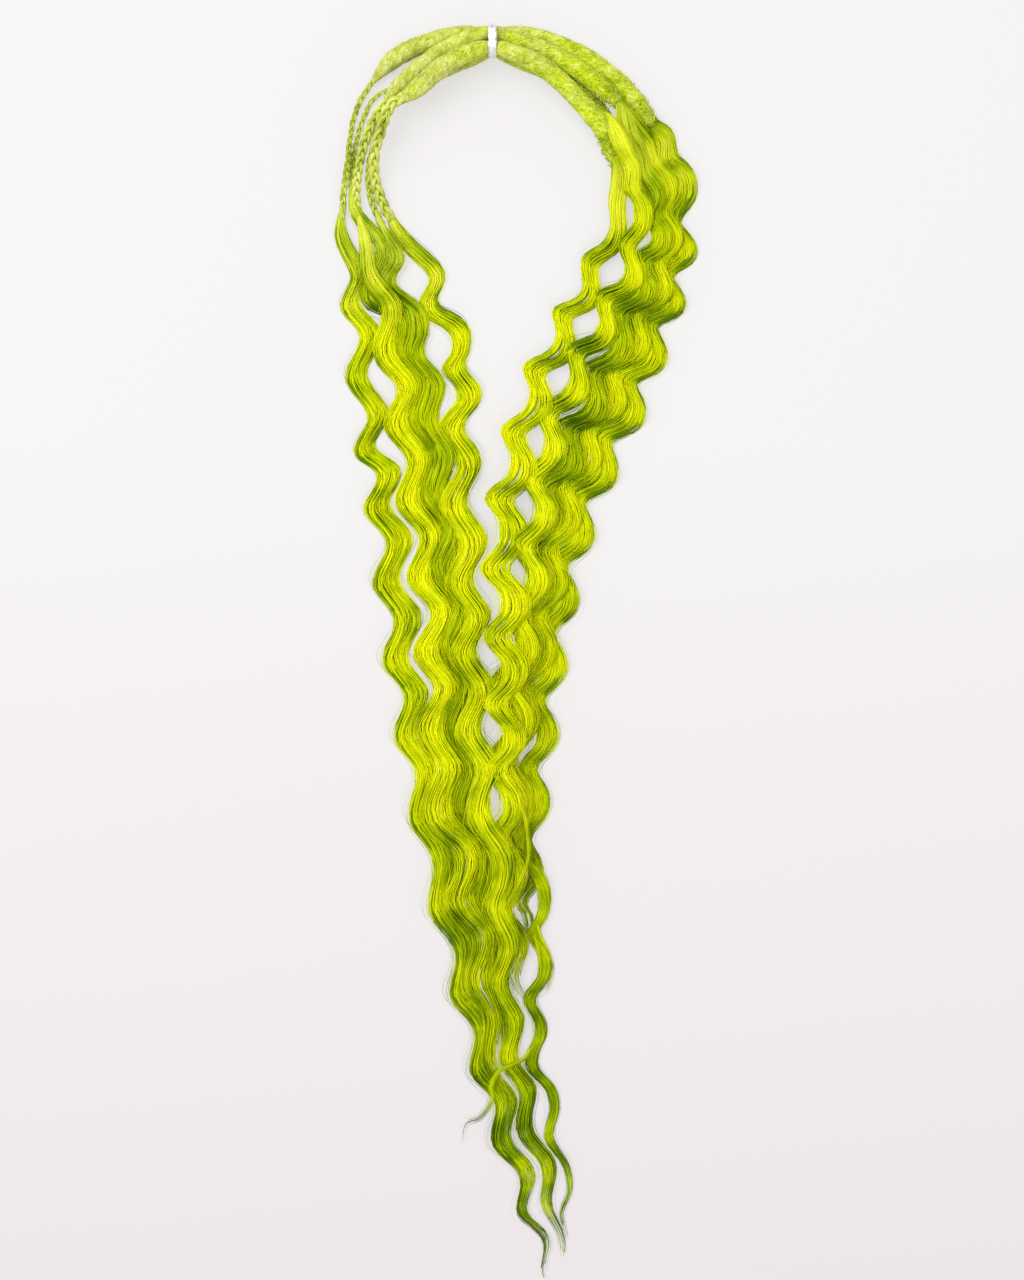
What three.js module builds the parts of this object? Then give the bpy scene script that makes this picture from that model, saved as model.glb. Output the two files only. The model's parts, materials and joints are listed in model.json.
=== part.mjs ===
// Wavy hair extension, lying flat with its tips towards -Y.
// Four felted dreads are folded at their middle and gripped there by one thin tie band.
// On the left each dread narrows into plaits that loosen into wavy locks.
// On the right each dread ends in a knot and opens straight into wavy locks.
// Lengths are millimetres.

import * as THREE from "three";

// Driving dimensions of the drape, fold to longest tip and across its widest spread, and the share
// of its length at which the middle of the design lies.
const DRAPE_LENGTH = 600;
const DRAPE_WIDTH = 172;
const MIDDLE_ALONG = 0.5;

// Driving dimensions of the dreads.
const DREAD_WIDTH = 9.2;
const DREAD_THICKNESS = 7.8;
const DREAD_SQUEEZED = 7.4;
const DREAD_SIDES = 8;
const DREAD_STEPS = 15;

// Driving dimensions of the tie band.
const BAND_LENGTH = 4;
const BAND_WALL = 0.5;
const BAND_CORNER = 4;
const BAND_CORNER_STEPS = 2;
const BAND_ACROSS = -0.064;
const BAND_ALONG = 0.986;

// Driving dimensions of the plaits.
const PLAIT_WIDTH = 5;
const PLAIT_THICKNESS = 3.4;
const PLAIT_PITCH = 15;
const PLAIT_STEPS_PER_PITCH = 4;
const PLAIT_LOBE = 0.45;

// Driving dimensions of the wavy locks.
const LOCK_WIDTH = 9.4;
const LOCK_THICKNESS = 3.4;
const WAVE_SWING = 4;
const STEPS_PER_WAVE = 6;

// Named fits: the gap where two pieces meet end to end, the gap between pieces that lie on each
// other, and the length over which a piece climbs on to the one below it.
const JOINT_GAP = 0.4;
const LAY_GAP = 0.4;
const CLIMB = 9;

// How closely the pile is laid: the shares of a half width and of a step between two sections at
// which a piece looks for what lies below it, how far past its end a step still counts, and the
// passes over the whole pile.
const LATERAL_SHARES = [-1, -0.75, -0.5, -0.25, 0, 0.25, 0.5, 0.75, 1];
const STEP_SHARES = [-0.5, 0, 0.5];
const OVERRUN_SHARE = 0.25;
const PASSES = 6;

// Sections: the flat share of a lock's width, how far a closed end narrows, and the length of a
// dread's blunt end as a share of its width.
const FLAT_SHARE = 0.5;
const NOSE_SHARE = 0.4;
const BLUNT_SHARE = 0.3;

// Colours of the hair from bright to deep, of the felted dreads and of the tie band.
const COLOURS = {
  bright: 0xcfe01a,
  middle: 0xb4c81c,
  deep: 0x93ab1e,
  felt: 0xcfdb7c,
  feltDeep: 0xb5c25f,
  band: 0xdcdcd8,
};

// Each table gives its stations from the dread outwards. "across" is a share of the drape's width
// from its centre line, "along" a share of its length from the longest tip, "width" a share of the
// piece's own full width, "waves" the waves counted up to the station and "swing" a share of the
// wave's swing.
const DREAD_COLUMNS = ["across", "along", "width"];
const PLAIT_COLUMNS = ["across", "along", "width"];
const LOCK_COLUMNS = ["across", "along", "waves", "swing", "width"];

// Dreads run from their right end over the fold to their left end. The fold's own station stands
// between the two halves, in the column under the tie band that is nearer to the tips or farther.
const DREADS = {
  dread_outer: {
    fartherColumn: true,
    colour: COLOURS.felt,
    right: [
      [0.383, 0.921, 0.95],
      [0.286, 0.955, 1.00],
      [0.166, 0.979, 1.00],
      [0.040, 0.992, 0.92],
    ],
    left: [
      [-0.149, 0.993, 0.92],
      [-0.252, 0.986, 1.00],
      [-0.341, 0.973, 1.00],
      [-0.400, 0.955, 0.66],
    ],
  },
  dread_under: {
    fartherColumn: false,
    colour: COLOURS.feltDeep,
    right: [
      [0.262, 0.923, 0.88],
      [0.194, 0.944, 0.92],
      [0.096, 0.963, 0.92],
      [-0.001, 0.974, 0.88],
    ],
    left: [
      [-0.149, 0.972, 0.88],
      [-0.243, 0.960, 0.88],
      [-0.338, 0.951, 0.52],
    ],
  },
  dread_middle: {
    fartherColumn: true,
    colour: COLOURS.felt,
    right: [
      [0.291, 0.936, 0.96],
      [0.196, 0.959, 1.00],
      [0.082, 0.978, 1.00],
      [-0.001, 0.985, 0.92],
    ],
    left: [
      [-0.169, 0.983, 0.92],
      [-0.260, 0.966, 1.00],
      [-0.330, 0.947, 0.94],
      [-0.371, 0.932, 0.70],
    ],
  },
  dread_inner: {
    fartherColumn: false,
    colour: COLOURS.felt,
    right: [
      [0.284, 0.887, 0.92],
      [0.258, 0.909, 0.98],
      [0.188, 0.935, 1.00],
      [0.082, 0.963, 1.00],
      [-0.001, 0.974, 0.92],
    ],
    left: [
      [-0.155, 0.972, 0.95],
      [-0.210, 0.962, 1.00],
      [-0.290, 0.943, 0.92],
      [-0.341, 0.934, 0.74],
    ],
  },
};

// Plaits grow from the left ends of the dreads. Each starts the joint's gap off its dread's end,
// wherever that lies, so the place in a first row only shows where that is.
const PLAITS = {
  plait_under: {
    from: "dread_under",
    colour: COLOURS.deep,
    stations: [
      [-0.350, 0.954, 0.62],
      [-0.394, 0.943, 0.65],
      [-0.430, 0.922, 0.65],
      [-0.450, 0.899, 0.65],
      [-0.458, 0.879, 0.70],
      [-0.455, 0.862, 0.72],
    ],
  },
  plait_outer: {
    from: "dread_outer",
    colour: COLOURS.middle,
    stations: [
      [-0.398, 0.948, 0.85],
      [-0.440, 0.936, 0.85],
      [-0.458, 0.915, 0.85],
      [-0.466, 0.893, 0.90],
      [-0.478, 0.869, 1.00],
      [-0.483, 0.846, 0.90],
    ],
  },
  plait_second: {
    from: "dread_inner",
    colour: COLOURS.deep,
    stations: [
      [-0.346, 0.925, 0.60],
      [-0.380, 0.911, 0.65],
      [-0.405, 0.895, 0.65],
      [-0.411, 0.877, 0.70],
      [-0.397, 0.857, 0.75],
      [-0.371, 0.842, 0.75],
    ],
  },
  plait_middle: {
    from: "dread_middle",
    colour: COLOURS.middle,
    stations: [
      [-0.373, 0.929, 1.10],
      [-0.410, 0.912, 1.10],
      [-0.433, 0.892, 1.00],
      [-0.444, 0.869, 0.95],
      [-0.438, 0.852, 0.90],
      [-0.429, 0.841, 0.85],
    ],
  },
  plait_inner: {
    from: "dread_inner",
    colour: COLOURS.bright,
    stations: [
      [-0.338, 0.929, 1.20],
      [-0.373, 0.913, 1.20],
      [-0.391, 0.896, 1.20],
      [-0.391, 0.878, 1.20],
      [-0.371, 0.859, 1.15],
      [-0.346, 0.846, 1.05],
    ],
  },
};

// Wavy locks grow from the right ends of the dreads and the lower ends of the plaits, and start as
// the plaits do.
const LOCKS = {
  right_outer_lock: {
    from: "dread_outer",
    colour: COLOURS.middle,
    stations: [
      [0.384, 0.920, -0.9, 0.10, 0.80],
      [0.447, 0.893, -0.1, 0.60, 0.90],
      [0.457, 0.834, 1.0, 0.95, 0.85],
      [0.433, 0.791, 2.0, 0.95, 0.85],
      [0.327, 0.705, 4.0, 1.00, 0.90],
      [0.182, 0.609, 6.0, 0.95, 0.85],
      [0.099, 0.505, 8.0, 0.90, 0.78],
      [0.057, 0.395, 10.0, 0.85, 0.60],
      [0.032, 0.291, 12.0, 0.60, 0.40],
      [0.015, 0.259, 12.6, 0.40, 0.15],
    ],
  },
  right_middle_lock: {
    from: "dread_middle",
    colour: COLOURS.middle,
    stations: [
      [0.296, 0.933, -1.5, 0.00, 0.60],
      [0.341, 0.913, -0.9, 0.10, 0.80],
      [0.404, 0.881, 0.0, 0.40, 0.85],
      [0.419, 0.840, 1.0, 0.70, 0.80],
      [0.397, 0.798, 2.0, 0.90, 0.85],
      [0.269, 0.709, 4.0, 1.00, 0.90],
      [0.141, 0.618, 6.0, 1.00, 0.90],
      [0.071, 0.514, 8.0, 1.00, 0.80],
      [0.004, 0.399, 10.0, 1.00, 0.65],
      [0.071, 0.287, 11.5, 0.90, 0.55],
      [0.057, 0.185, 13.5, 0.70, 0.60],
      [0.104, 0.128, 14.5, 0.80, 0.50],
      [0.143, 0.063, 15.5, 0.70, 0.30],
      [0.141, 0.031, 16.1, 0.40, 0.15],
    ],
  },
  right_third_lock: {
    from: "dread_middle",
    colour: COLOURS.deep,
    stations: [
      [0.288, 0.932, -1.4, 0.00, 0.55],
      [0.318, 0.908, -0.9, 0.10, 0.75],
      [0.364, 0.879, -0.1, 0.30, 0.80],
      [0.391, 0.840, 1.0, 0.70, 0.75],
      [0.358, 0.800, 2.0, 0.90, 0.80],
      [0.221, 0.710, 4.0, 1.00, 0.90],
      [0.091, 0.619, 6.0, 1.00, 0.88],
      [0.032, 0.514, 8.0, 1.00, 0.80],
      [-0.010, 0.402, 10.0, 0.90, 0.60],
      [-0.001, 0.326, 11.3, 0.70, 0.45],
      [-0.010, 0.279, 12.1, 0.40, 0.15],
    ],
  },
  right_second_lock: {
    from: "dread_under",
    colour: COLOURS.bright,
    stations: [
      [0.268, 0.919, -1.5, 0.05, 0.50],
      [0.304, 0.896, -0.9, 0.10, 0.55],
      [0.341, 0.862, 0.0, 0.50, 0.65],
      [0.322, 0.810, 1.0, 0.80, 0.75],
      [0.252, 0.767, 2.0, 0.95, 0.78],
      [0.102, 0.676, 4.0, 1.00, 0.85],
      [0.046, 0.572, 6.0, 1.00, 0.80],
      [-0.007, 0.462, 8.0, 1.00, 0.90],
      [-0.021, 0.338, 10.0, 1.00, 0.80],
      [-0.010, 0.283, 11.0, 0.80, 0.60],
      [0.007, 0.219, 12.2, 0.50, 0.18],
    ],
  },
  right_inner_lock: {
    from: "dread_inner",
    colour: COLOURS.bright,
    stations: [
      [0.284, 0.884, -0.7, 0.05, 0.70],
      [0.286, 0.844, 0.0, 0.40, 0.70],
      [0.208, 0.796, 1.0, 0.90, 0.80],
      [0.065, 0.711, 3.0, 1.00, 0.90],
      [-0.018, 0.609, 5.0, 1.05, 1.05],
      [-0.021, 0.526, 6.5, 1.05, 1.00],
      [-0.024, 0.445, 8.0, 1.00, 0.75],
      [-0.018, 0.339, 10.0, 0.90, 0.60],
      [0.013, 0.255, 11.5, 0.60, 0.40],
      [0.029, 0.219, 12.1, 0.30, 0.15],
    ],
  },
  left_under_lock: {
    from: "plait_under",
    colour: COLOURS.deep,
    stations: [
      [-0.454, 0.859, -0.3, 0.00, 0.42],
      [-0.391, 0.821, 0.3, 1.00, 0.70],
      [-0.380, 0.785, 0.8, 1.00, 0.72],
      [-0.313, 0.753, 1.5, 0.90, 0.72],
      [-0.272, 0.671, 3.0, 0.90, 0.75],
      [-0.210, 0.582, 4.5, 0.90, 0.75],
      [-0.188, 0.488, 6.0, 1.00, 0.75],
      [-0.171, 0.390, 7.5, 0.90, 0.65],
      [-0.099, 0.317, 8.5, 0.80, 0.55],
      [-0.043, 0.219, 10.0, 0.50, 0.20],
    ],
  },
  left_second_lock: {
    from: "plait_second",
    colour: COLOURS.deep,
    stations: [
      [-0.367, 0.839, -0.1, 0.30, 0.42],
      [-0.345, 0.815, 0.3, 0.80, 0.60],
      [-0.336, 0.796, 0.75, 0.90, 0.65],
      [-0.272, 0.752, 1.5, 0.90, 0.72],
      [-0.221, 0.673, 3.0, 0.70, 0.80],
      [-0.182, 0.583, 4.5, 1.00, 0.75],
      [-0.152, 0.488, 6.0, 1.00, 0.70],
      [-0.124, 0.390, 7.5, 0.95, 0.70],
      [-0.079, 0.317, 8.5, 0.80, 0.65],
      [-0.043, 0.220, 10.0, 0.60, 0.50],
      [-0.010, 0.155, 11.0, 0.40, 0.18],
    ],
  },
  left_outer_lock: {
    from: "plait_outer",
    colour: COLOURS.middle,
    stations: [
      [-0.483, 0.843, -0.35, 0.20, 0.50],
      [-0.455, 0.804, 0.25, 0.80, 0.72],
      [-0.433, 0.767, 1.0, 1.00, 0.75],
      [-0.403, 0.677, 2.5, 1.15, 0.85],
      [-0.369, 0.630, 3.5, 1.05, 0.95],
      [-0.319, 0.512, 5.5, 1.05, 1.00],
      [-0.260, 0.389, 7.5, 0.90, 0.75],
      [-0.146, 0.247, 9.5, 0.90, 0.75],
      [-0.035, 0.128, 11.5, 0.90, 0.75],
      [0.052, 0.043, 13.0, 0.90, 0.30],
      [0.099, 0.001, 13.8, 0.60, 0.15],
    ],
  },
  left_inner_lock: {
    from: "plait_inner",
    colour: COLOURS.bright,
    stations: [
      [-0.341, 0.842, -0.3, 0.00, 0.55],
      [-0.241, 0.802, 0.25, 0.90, 0.72],
      [-0.217, 0.777, 0.8, 0.95, 0.76],
      [-0.155, 0.739, 1.5, 0.90, 0.85],
      [-0.152, 0.666, 3.0, 1.00, 1.00],
      [-0.135, 0.572, 4.5, 0.95, 1.00],
      [-0.116, 0.485, 6.0, 1.00, 0.85],
      [-0.091, 0.393, 7.5, 0.90, 0.80],
      [-0.040, 0.314, 8.5, 0.80, 0.70],
      [-0.024, 0.220, 10.0, 0.70, 0.65],
      [0.029, 0.135, 11.5, 0.70, 0.60],
      [0.091, 0.073, 12.5, 0.70, 0.45],
      [0.127, 0.014, 13.5, 0.40, 0.15],
    ],
  },
  left_middle_lock: {
    from: "plait_middle",
    colour: COLOURS.bright,
    stations: [
      [-0.426, 0.838, 0.0, 0.10, 0.45],
      [-0.414, 0.814, 0.5, 0.30, 0.60],
      [-0.377, 0.788, 1.0, 0.70, 0.75],
      [-0.336, 0.725, 2.0, 1.10, 0.85],
      [-0.288, 0.638, 3.5, 1.00, 0.85],
      [-0.238, 0.546, 5.0, 1.15, 0.85],
      [-0.219, 0.457, 6.5, 1.05, 0.85],
      [-0.210, 0.391, 7.5, 1.10, 1.05],
      [-0.138, 0.319, 8.5, 1.20, 1.05],
      [-0.096, 0.255, 9.5, 0.80, 0.85],
      [-0.071, 0.191, 10.5, 0.60, 0.60],
      [-0.021, 0.131, 11.4, 0.40, 0.18],
    ],
  },
};

// The pile from the surface upwards, as the pieces lie on each other.
const PILE = [
  "dread_outer", "dread_under", "plait_under", "plait_outer", "dread_middle", "dread_inner",
  "plait_second", "plait_middle", "plait_inner", "right_outer_lock", "right_middle_lock",
  "right_third_lock", "right_second_lock", "right_inner_lock", "left_under_lock",
  "left_second_lock", "left_outer_lock", "left_inner_lock", "left_middle_lock",
];

// Height shares of the two kinds of section at a share of their half width.
const PROFILES = {
  round: (share) => Math.sqrt(Math.max(0, 1 - share * share)),
  flat: (share) => Math.min(1, Math.max(0, 1 - share) / (1 - FLAT_SHARE)),
};

// Outlines of the two kinds of section, as shares of the half width and the half height.
const OUTLINES = {
  round: Array.from({ length: DREAD_SIDES }, (_, side) => {
    const angle = ((side + 0.5) / DREAD_SIDES) * 2 * Math.PI;
    return [Math.cos(angle), Math.sin(angle)];
  }),
  flat: [
    [1, 0],
    [FLAT_SHARE, 1],
    [-FLAT_SHARE, 1],
    [-1, 0],
    [-FLAT_SHARE, -1],
    [FLAT_SHARE, -1],
  ],
};

// A point of the plan at shares of the drape's width and length.
function planPoint(across, along) {
  return new THREE.Vector3(across * DRAPE_WIDTH, (along - MIDDLE_ALONG) * DRAPE_LENGTH, 0);
}

function stationsOf(columns, rows) {
  return rows.map((row) => {
    const named = Object.fromEntries(columns.map((column, index) => [column, row[index]]));
    return { ...named, place: planPoint(named.across, named.along) };
  });
}

// A smooth guide line through the stations, on which every column follows the same parameter.
class Guide {
  constructor(stations) {
    this.stations = stations;
    this.curve = new THREE.CatmullRomCurve3(stations.map((station) => station.place));
    this.last = stations.length - 1;
  }

  column(name, position) {
    const index = Math.min(Math.floor(position), this.last - 1);
    const here = this.stations[index][name];
    const next = this.stations[index + 1][name];
    return THREE.MathUtils.lerp(here, next, position - index);
  }

  positionAtWaves(waves) {
    const next = this.stations.findIndex((station) => station.waves >= waves);
    const index = Math.max(next, 1) - 1;
    const start = this.stations[index].waves;
    return index + (waves - start) / (this.stations[index + 1].waves - start);
  }

  positionAtLength(share) {
    return this.curve.getUtoTmapping(share) * this.last;
  }

  place(position) {
    return this.curve.getPoint(position / this.last);
  }

  leftward(position) {
    const tangent = this.curve.getTangent(position / this.last);
    return new THREE.Vector3(-tangent.y, tangent.x, 0).normalize();
  }
}

// Gives each section the sideways direction that stands square to the line of the centres.
function squareUp(sections) {
  sections.forEach((section, index) => {
    const before = sections[Math.max(index - 1, 0)].centre;
    const after = sections[Math.min(index + 1, sections.length - 1)].centre;
    const run = after.clone().sub(before).normalize();
    section.side = new THREE.Vector3(run.y, -run.x, 0);
  });
  return sections;
}

// The index of the end section that lies nearest to a point.
function endOf(piece, towards) {
  const ends = [piece.sections[0], piece.sections[piece.sections.length - 1]];
  const flat = ends.map(({ centre }) => Math.hypot(centre.x - towards.x, centre.y - towards.y));
  return flat[0] < flat[1] ? 0 : piece.sections.length - 1;
}

// Stations of a piece that grows from another: the first one stands the joint's gap off its end.
function stationsFrom(parent, columns, rows) {
  const stations = stationsOf(columns, rows);
  const end = parent.sections[endOf(parent, stations[1].place)].centre;
  const run = stations[1].place.clone().sub(end).setZ(0).normalize();
  stations[0].place = end.clone().addScaledVector(run, JOINT_GAP);
  return stations;
}

// Sections of a dread: full width, squeezed where the tie band holds it.
function dreadSections({ right, left, fartherColumn }) {
  const fold = {
    width: DREAD_SQUEEZED / DREAD_WIDTH,
    thickness: DREAD_SQUEEZED / DREAD_THICKNESS,
    place: planPoint(BAND_ACROSS, BAND_ALONG),
  };
  const columnOffset = (DREAD_SQUEEZED + LAY_GAP) / 2;
  fold.place.y += fartherColumn ? columnOffset : -columnOffset;
  const free = stationsOf(DREAD_COLUMNS, [...right, ...left]);
  for (const station of free) {
    station.thickness = station.width;
  }
  const stations = [...free.slice(0, right.length), fold, ...free.slice(right.length)];
  const guide = new Guide(stations);
  const blunt = (BLUNT_SHARE * DREAD_WIDTH) / guide.curve.getLength();
  const shares = [blunt, 1 - blunt];
  for (let step = 0; step <= DREAD_STEPS; step += 1) {
    shares.push(step / DREAD_STEPS);
  }
  const positions = shares.sort((a, b) => a - b).map((share) => guide.positionAtLength(share));
  const nearest = positions.reduce((best, position, index) =>
    Math.abs(position - right.length) < Math.abs(positions[best] - right.length) ? index : best, 0);
  positions[nearest] = right.length;
  const sections = positions.map((position) => ({
    centre: guide.place(position),
    half: (guide.column("width", position) * DREAD_WIDTH) / 2,
    rise: (guide.column("thickness", position) * DREAD_THICKNESS) / 2,
  }));
  return squareUp(sections);
}

// Sections of a plait: the lobes of its three strands swing to either side in turn.
function plaitSections({ stations }, parent) {
  const guide = new Guide(stationsFrom(parent, PLAIT_COLUMNS, stations));
  const length = guide.curve.getLength();
  const steps = Math.ceil((length / PLAIT_PITCH) * PLAIT_STEPS_PER_PITCH);
  const sections = [];
  for (let step = 0; step <= steps; step += 1) {
    const position = guide.positionAtLength(step / steps);
    const share = guide.column("width", position);
    const turn = (step / PLAIT_STEPS_PER_PITCH) * 2 * Math.PI;
    const centre = guide
      .place(position)
      .addScaledVector(guide.leftward(position), PLAIT_LOBE * share * Math.sin(turn));
    const rise = (Math.min(share, 1) * PLAIT_THICKNESS) / 2;
    sections.push({ centre, half: (share * PLAIT_WIDTH) / 2, rise });
  }
  return squareUp(sections);
}

// Sections of a wavy lock: one at every crest and two on every flank.
function lockSections({ stations }, parent) {
  const guide = new Guide(stationsFrom(parent, LOCK_COLUMNS, stations));
  const first = stations[0][LOCK_COLUMNS.indexOf("waves")];
  const last = stations[stations.length - 1][LOCK_COLUMNS.indexOf("waves")];
  const counts = [first];
  const firstStep = Math.floor(first * STEPS_PER_WAVE) + 1;
  for (let step = firstStep; (step + 0.5) / STEPS_PER_WAVE < last; step += 1) {
    counts.push((step + 0.5) / STEPS_PER_WAVE);
  }
  counts.push(last);
  const sections = counts.map((waves) => {
    const position = guide.positionAtWaves(waves);
    const share = guide.column("width", position);
    const swing = guide.column("swing", position) * WAVE_SWING;
    const centre = guide
      .place(position)
      .addScaledVector(guide.leftward(position), swing * Math.sin(2 * Math.PI * waves));
    return {
      centre,
      half: (share * LOCK_WIDTH) / 2,
      rise: (Math.min(share, 1) * LOCK_THICKNESS) / 2,
    };
  });
  return squareUp(sections);
}

// One piece of the pile, with the running length at each of its sections.
class Piece {
  constructor(name, profile, sections, colour, parent) {
    this.name = name;
    this.profile = profile;
    this.sections = sections;
    this.colour = colour;
    this.parent = parent;
    this.lengths = [0];
    for (let index = 1; index < sections.length; index += 1) {
      const step = sections[index].centre.distanceTo(sections[index - 1].centre);
      this.lengths.push(this.lengths[index - 1] + step);
    }
    this.box = new THREE.Box3().setFromPoints(sections.map((section) => section.centre));
    this.box.expandByScalar(Math.max(...sections.map((section) => section.half)) + LAY_GAP);
  }
}

// The section of a piece at a fractional index.
function sectionBetween(piece, index) {
  const low = Math.min(Math.max(Math.floor(index), 0), piece.sections.length - 2);
  const weight = Math.min(Math.max(index - low, 0), 1);
  const a = piece.sections[low];
  const b = piece.sections[low + 1];
  return {
    centre: a.centre.clone().lerp(b.centre, weight),
    side: a.side.clone().lerp(b.side, weight),
    half: THREE.MathUtils.lerp(a.half, b.half, weight),
    rise: THREE.MathUtils.lerp(a.rise, b.rise, weight),
  };
}

// Where a point of the plan lies over a piece, the section index and the height share there.
function footing(piece, x, y) {
  const found = [];
  if (x < piece.box.min.x || x > piece.box.max.x || y < piece.box.min.y || y > piece.box.max.y) {
    return found;
  }
  for (let index = 0; index < piece.sections.length - 1; index += 1) {
    const a = piece.sections[index];
    const b = piece.sections[index + 1];
    const runX = b.centre.x - a.centre.x;
    const runY = b.centre.y - a.centre.y;
    const square = runX * runX + runY * runY;
    const weight = ((x - a.centre.x) * runX + (y - a.centre.y) * runY) / square;
    if (weight < -OVERRUN_SHARE || weight > 1 + OVERRUN_SHARE) {
      continue;
    }
    const held = Math.min(Math.max(weight, 0), 1);
    const away = Math.hypot(x - a.centre.x - held * runX, y - a.centre.y - held * runY);
    const half = a.half + (b.half - a.half) * held;
    if (away > half + LAY_GAP) {
      continue;
    }
    const rise = a.rise + (b.rise - a.rise) * held;
    found.push({ index, held, height: rise * PROFILES[piece.profile](Math.min(away / half, 1)) });
  }
  return found;
}

// Where each section of a piece lies over the pieces below it, and how far it has to clear them.
// A piece may touch its parent near the joint.
function contactsOf(piece, below) {
  return piece.sections.map((_, index) => {
    const contacts = [];
    for (const stepShare of STEP_SHARES) {
      const section = sectionBetween(piece, index + stepShare);
      for (const share of LATERAL_SHARES) {
        const x = section.centre.x + section.side.x * share * section.half;
        const y = section.centre.y + section.side.y * share * section.half;
        const under = section.rise * PROFILES[piece.profile](Math.abs(share));
        for (const lower of below) {
          const joined = lower === piece.parent && piece.lengths[index] < CLIMB;
          if (joined) {
            continue;
          }
          for (const { index: at, held, height } of footing(lower, x, y)) {
            contacts.push({ lower, at, held, lift: height + under + LAY_GAP });
          }
        }
      }
    }
    return contacts;
  });
}

// The height of the tie band's wall under a dread's section.
function soleUnder(piece, section) {
  const bandReach = BAND_LENGTH / 2 + LAY_GAP;
  const inBand = Math.abs(section.centre.x - BAND_ACROSS * DRAPE_WIDTH) < bandReach;
  return piece.name.startsWith("dread") && inBand ? BAND_WALL + JOINT_GAP : 0;
}

// Heights that are nowhere below the needed ones and change gently over the climb.
function smoothed(piece, needed) {
  const windowOf = (values, index) =>
    values.filter((_, other) => Math.abs(piece.lengths[other] - piece.lengths[index]) <= CLIMB);
  const highest = needed.map((_, index) => Math.max(...windowOf(needed, index)));
  return highest.map((_, index) => {
    const near = windowOf(highest, index);
    return near.reduce((sum, value) => sum + value, 0) / near.length;
  });
}

// Lays the pieces on each other from the surface upwards. Each centre line rises over what lies
// below it, and starts no lower than its parent's end.
function layPile(pieces) {
  const contacts = pieces.map((piece, order) => contactsOf(piece, pieces.slice(0, order)));
  for (const piece of pieces) {
    piece.heights = piece.sections.map((section) => section.rise);
  }
  for (let pass = 0; pass < PASSES; pass += 1) {
    pieces.forEach((piece, order) => {
      const needed = piece.sections.map((section, index) => {
        const floor = section.rise + soleUnder(piece, section);
        return contacts[order][index].reduce((most, { lower, at, held, lift }) => {
          const top = THREE.MathUtils.lerp(lower.heights[at], lower.heights[at + 1], held);
          return Math.max(most, top + lift);
        }, floor);
      });
      if (piece.parent) {
        const end = endOf(piece.parent, piece.sections[0].centre);
        needed[0] = Math.max(needed[0], piece.parent.heights[end]);
      }
      piece.heights = smoothed(piece, needed);
    });
  }
  for (const piece of pieces) {
    for (const [index, section] of piece.sections.entries()) {
      section.centre.z = piece.heights[index];
    }
  }
}

// A closed solid through the sections, relative to its first one, with both ends narrowed.
function sweep(sections, outline) {
  const origin = sections[0].centre;
  const sides = outline.length;
  const lastRing = sections.length - 1;
  const corners = [];
  sections.forEach((section, ring) => {
    const nose = ring === 0 || ring === lastRing ? NOSE_SHARE : 1;
    for (const [across, up] of outline) {
      const corner = section.centre.clone().sub(origin);
      corner.addScaledVector(section.side, across * section.half * nose);
      corner.z += up * section.rise * nose;
      corners.push(corner.x, corner.y, corner.z);
    }
  });
  const faces = [];
  for (let ring = 0; ring < lastRing; ring += 1) {
    for (let side = 0; side < sides; side += 1) {
      const next = (side + 1) % sides;
      const a = ring * sides + side;
      const b = ring * sides + next;
      faces.push(a, a + sides, b + sides, a, b + sides, b);
    }
  }
  for (let side = 1; side < sides - 1; side += 1) {
    const end = lastRing * sides;
    faces.push(0, side, side + 1, end, end + side + 1, end + side);
  }
  const geometry = new THREE.BufferGeometry();
  geometry.setAttribute("position", new THREE.Float32BufferAttribute(corners, 3));
  geometry.setIndex(faces);
  geometry.computeVertexNormals();
  return geometry;
}

function hairMaterial(colour) {
  return new THREE.MeshStandardMaterial({ color: colour, roughness: 0.55, metalness: 0 });
}

function feltMaterial(colour) {
  return new THREE.MeshStandardMaterial({ color: colour, roughness: 0.95, metalness: 0 });
}

function pieceMesh(piece) {
  const isDread = piece.profile === "round";
  const material = isDread ? feltMaterial(piece.colour) : hairMaterial(piece.colour);
  const mesh = new THREE.Mesh(sweep(piece.sections, OUTLINES[piece.profile]), material);
  mesh.name = piece.name;
  mesh.position.copy(piece.sections[0].centre);
  return mesh;
}

// The tie band: a thin ring with rounded corners around the four squeezed dreads.
function tieBand(dreads) {
  const bandX = BAND_ACROSS * DRAPE_WIDTH;
  const reach = BAND_LENGTH / 2 + JOINT_GAP;
  // The dreads are measured between their sections too, in fine steps.
  const held = dreads
    .flatMap((dread) =>
      dread.sections.flatMap((_, index) =>
        LATERAL_SHARES.map((share) => sectionBetween(dread, index + share / 2))))
    .filter((section) => Math.abs(section.centre.x - bandX) < reach);
  const low = Math.min(...held.map((section) => section.centre.y - section.half)) - JOINT_GAP;
  const high = Math.max(...held.map((section) => section.centre.y + section.half)) + JOINT_GAP;
  const top = Math.max(...held.map((section) => section.centre.z + section.rise)) + JOINT_GAP;
  const ring = roundedRectangle(low - BAND_WALL, 0, high + BAND_WALL, top + BAND_WALL, BAND_CORNER);
  ring.holes.push(roundedRectangle(low, BAND_WALL, high, top, BAND_CORNER - BAND_WALL));
  const geometry = new THREE.ExtrudeGeometry(ring, {
    depth: BAND_LENGTH,
    bevelEnabled: false,
    curveSegments: BAND_CORNER_STEPS,
  });
  const material = new THREE.MeshStandardMaterial({
    color: COLOURS.band,
    roughness: 0.3,
    metalness: 0.9,
  });
  const mesh = new THREE.Mesh(geometry, material);
  mesh.name = "tie_band";
  mesh.rotation.set(Math.PI / 2, Math.PI / 2, 0);
  mesh.position.set(bandX - BAND_LENGTH / 2, 0, 0);
  return mesh;
}

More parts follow.
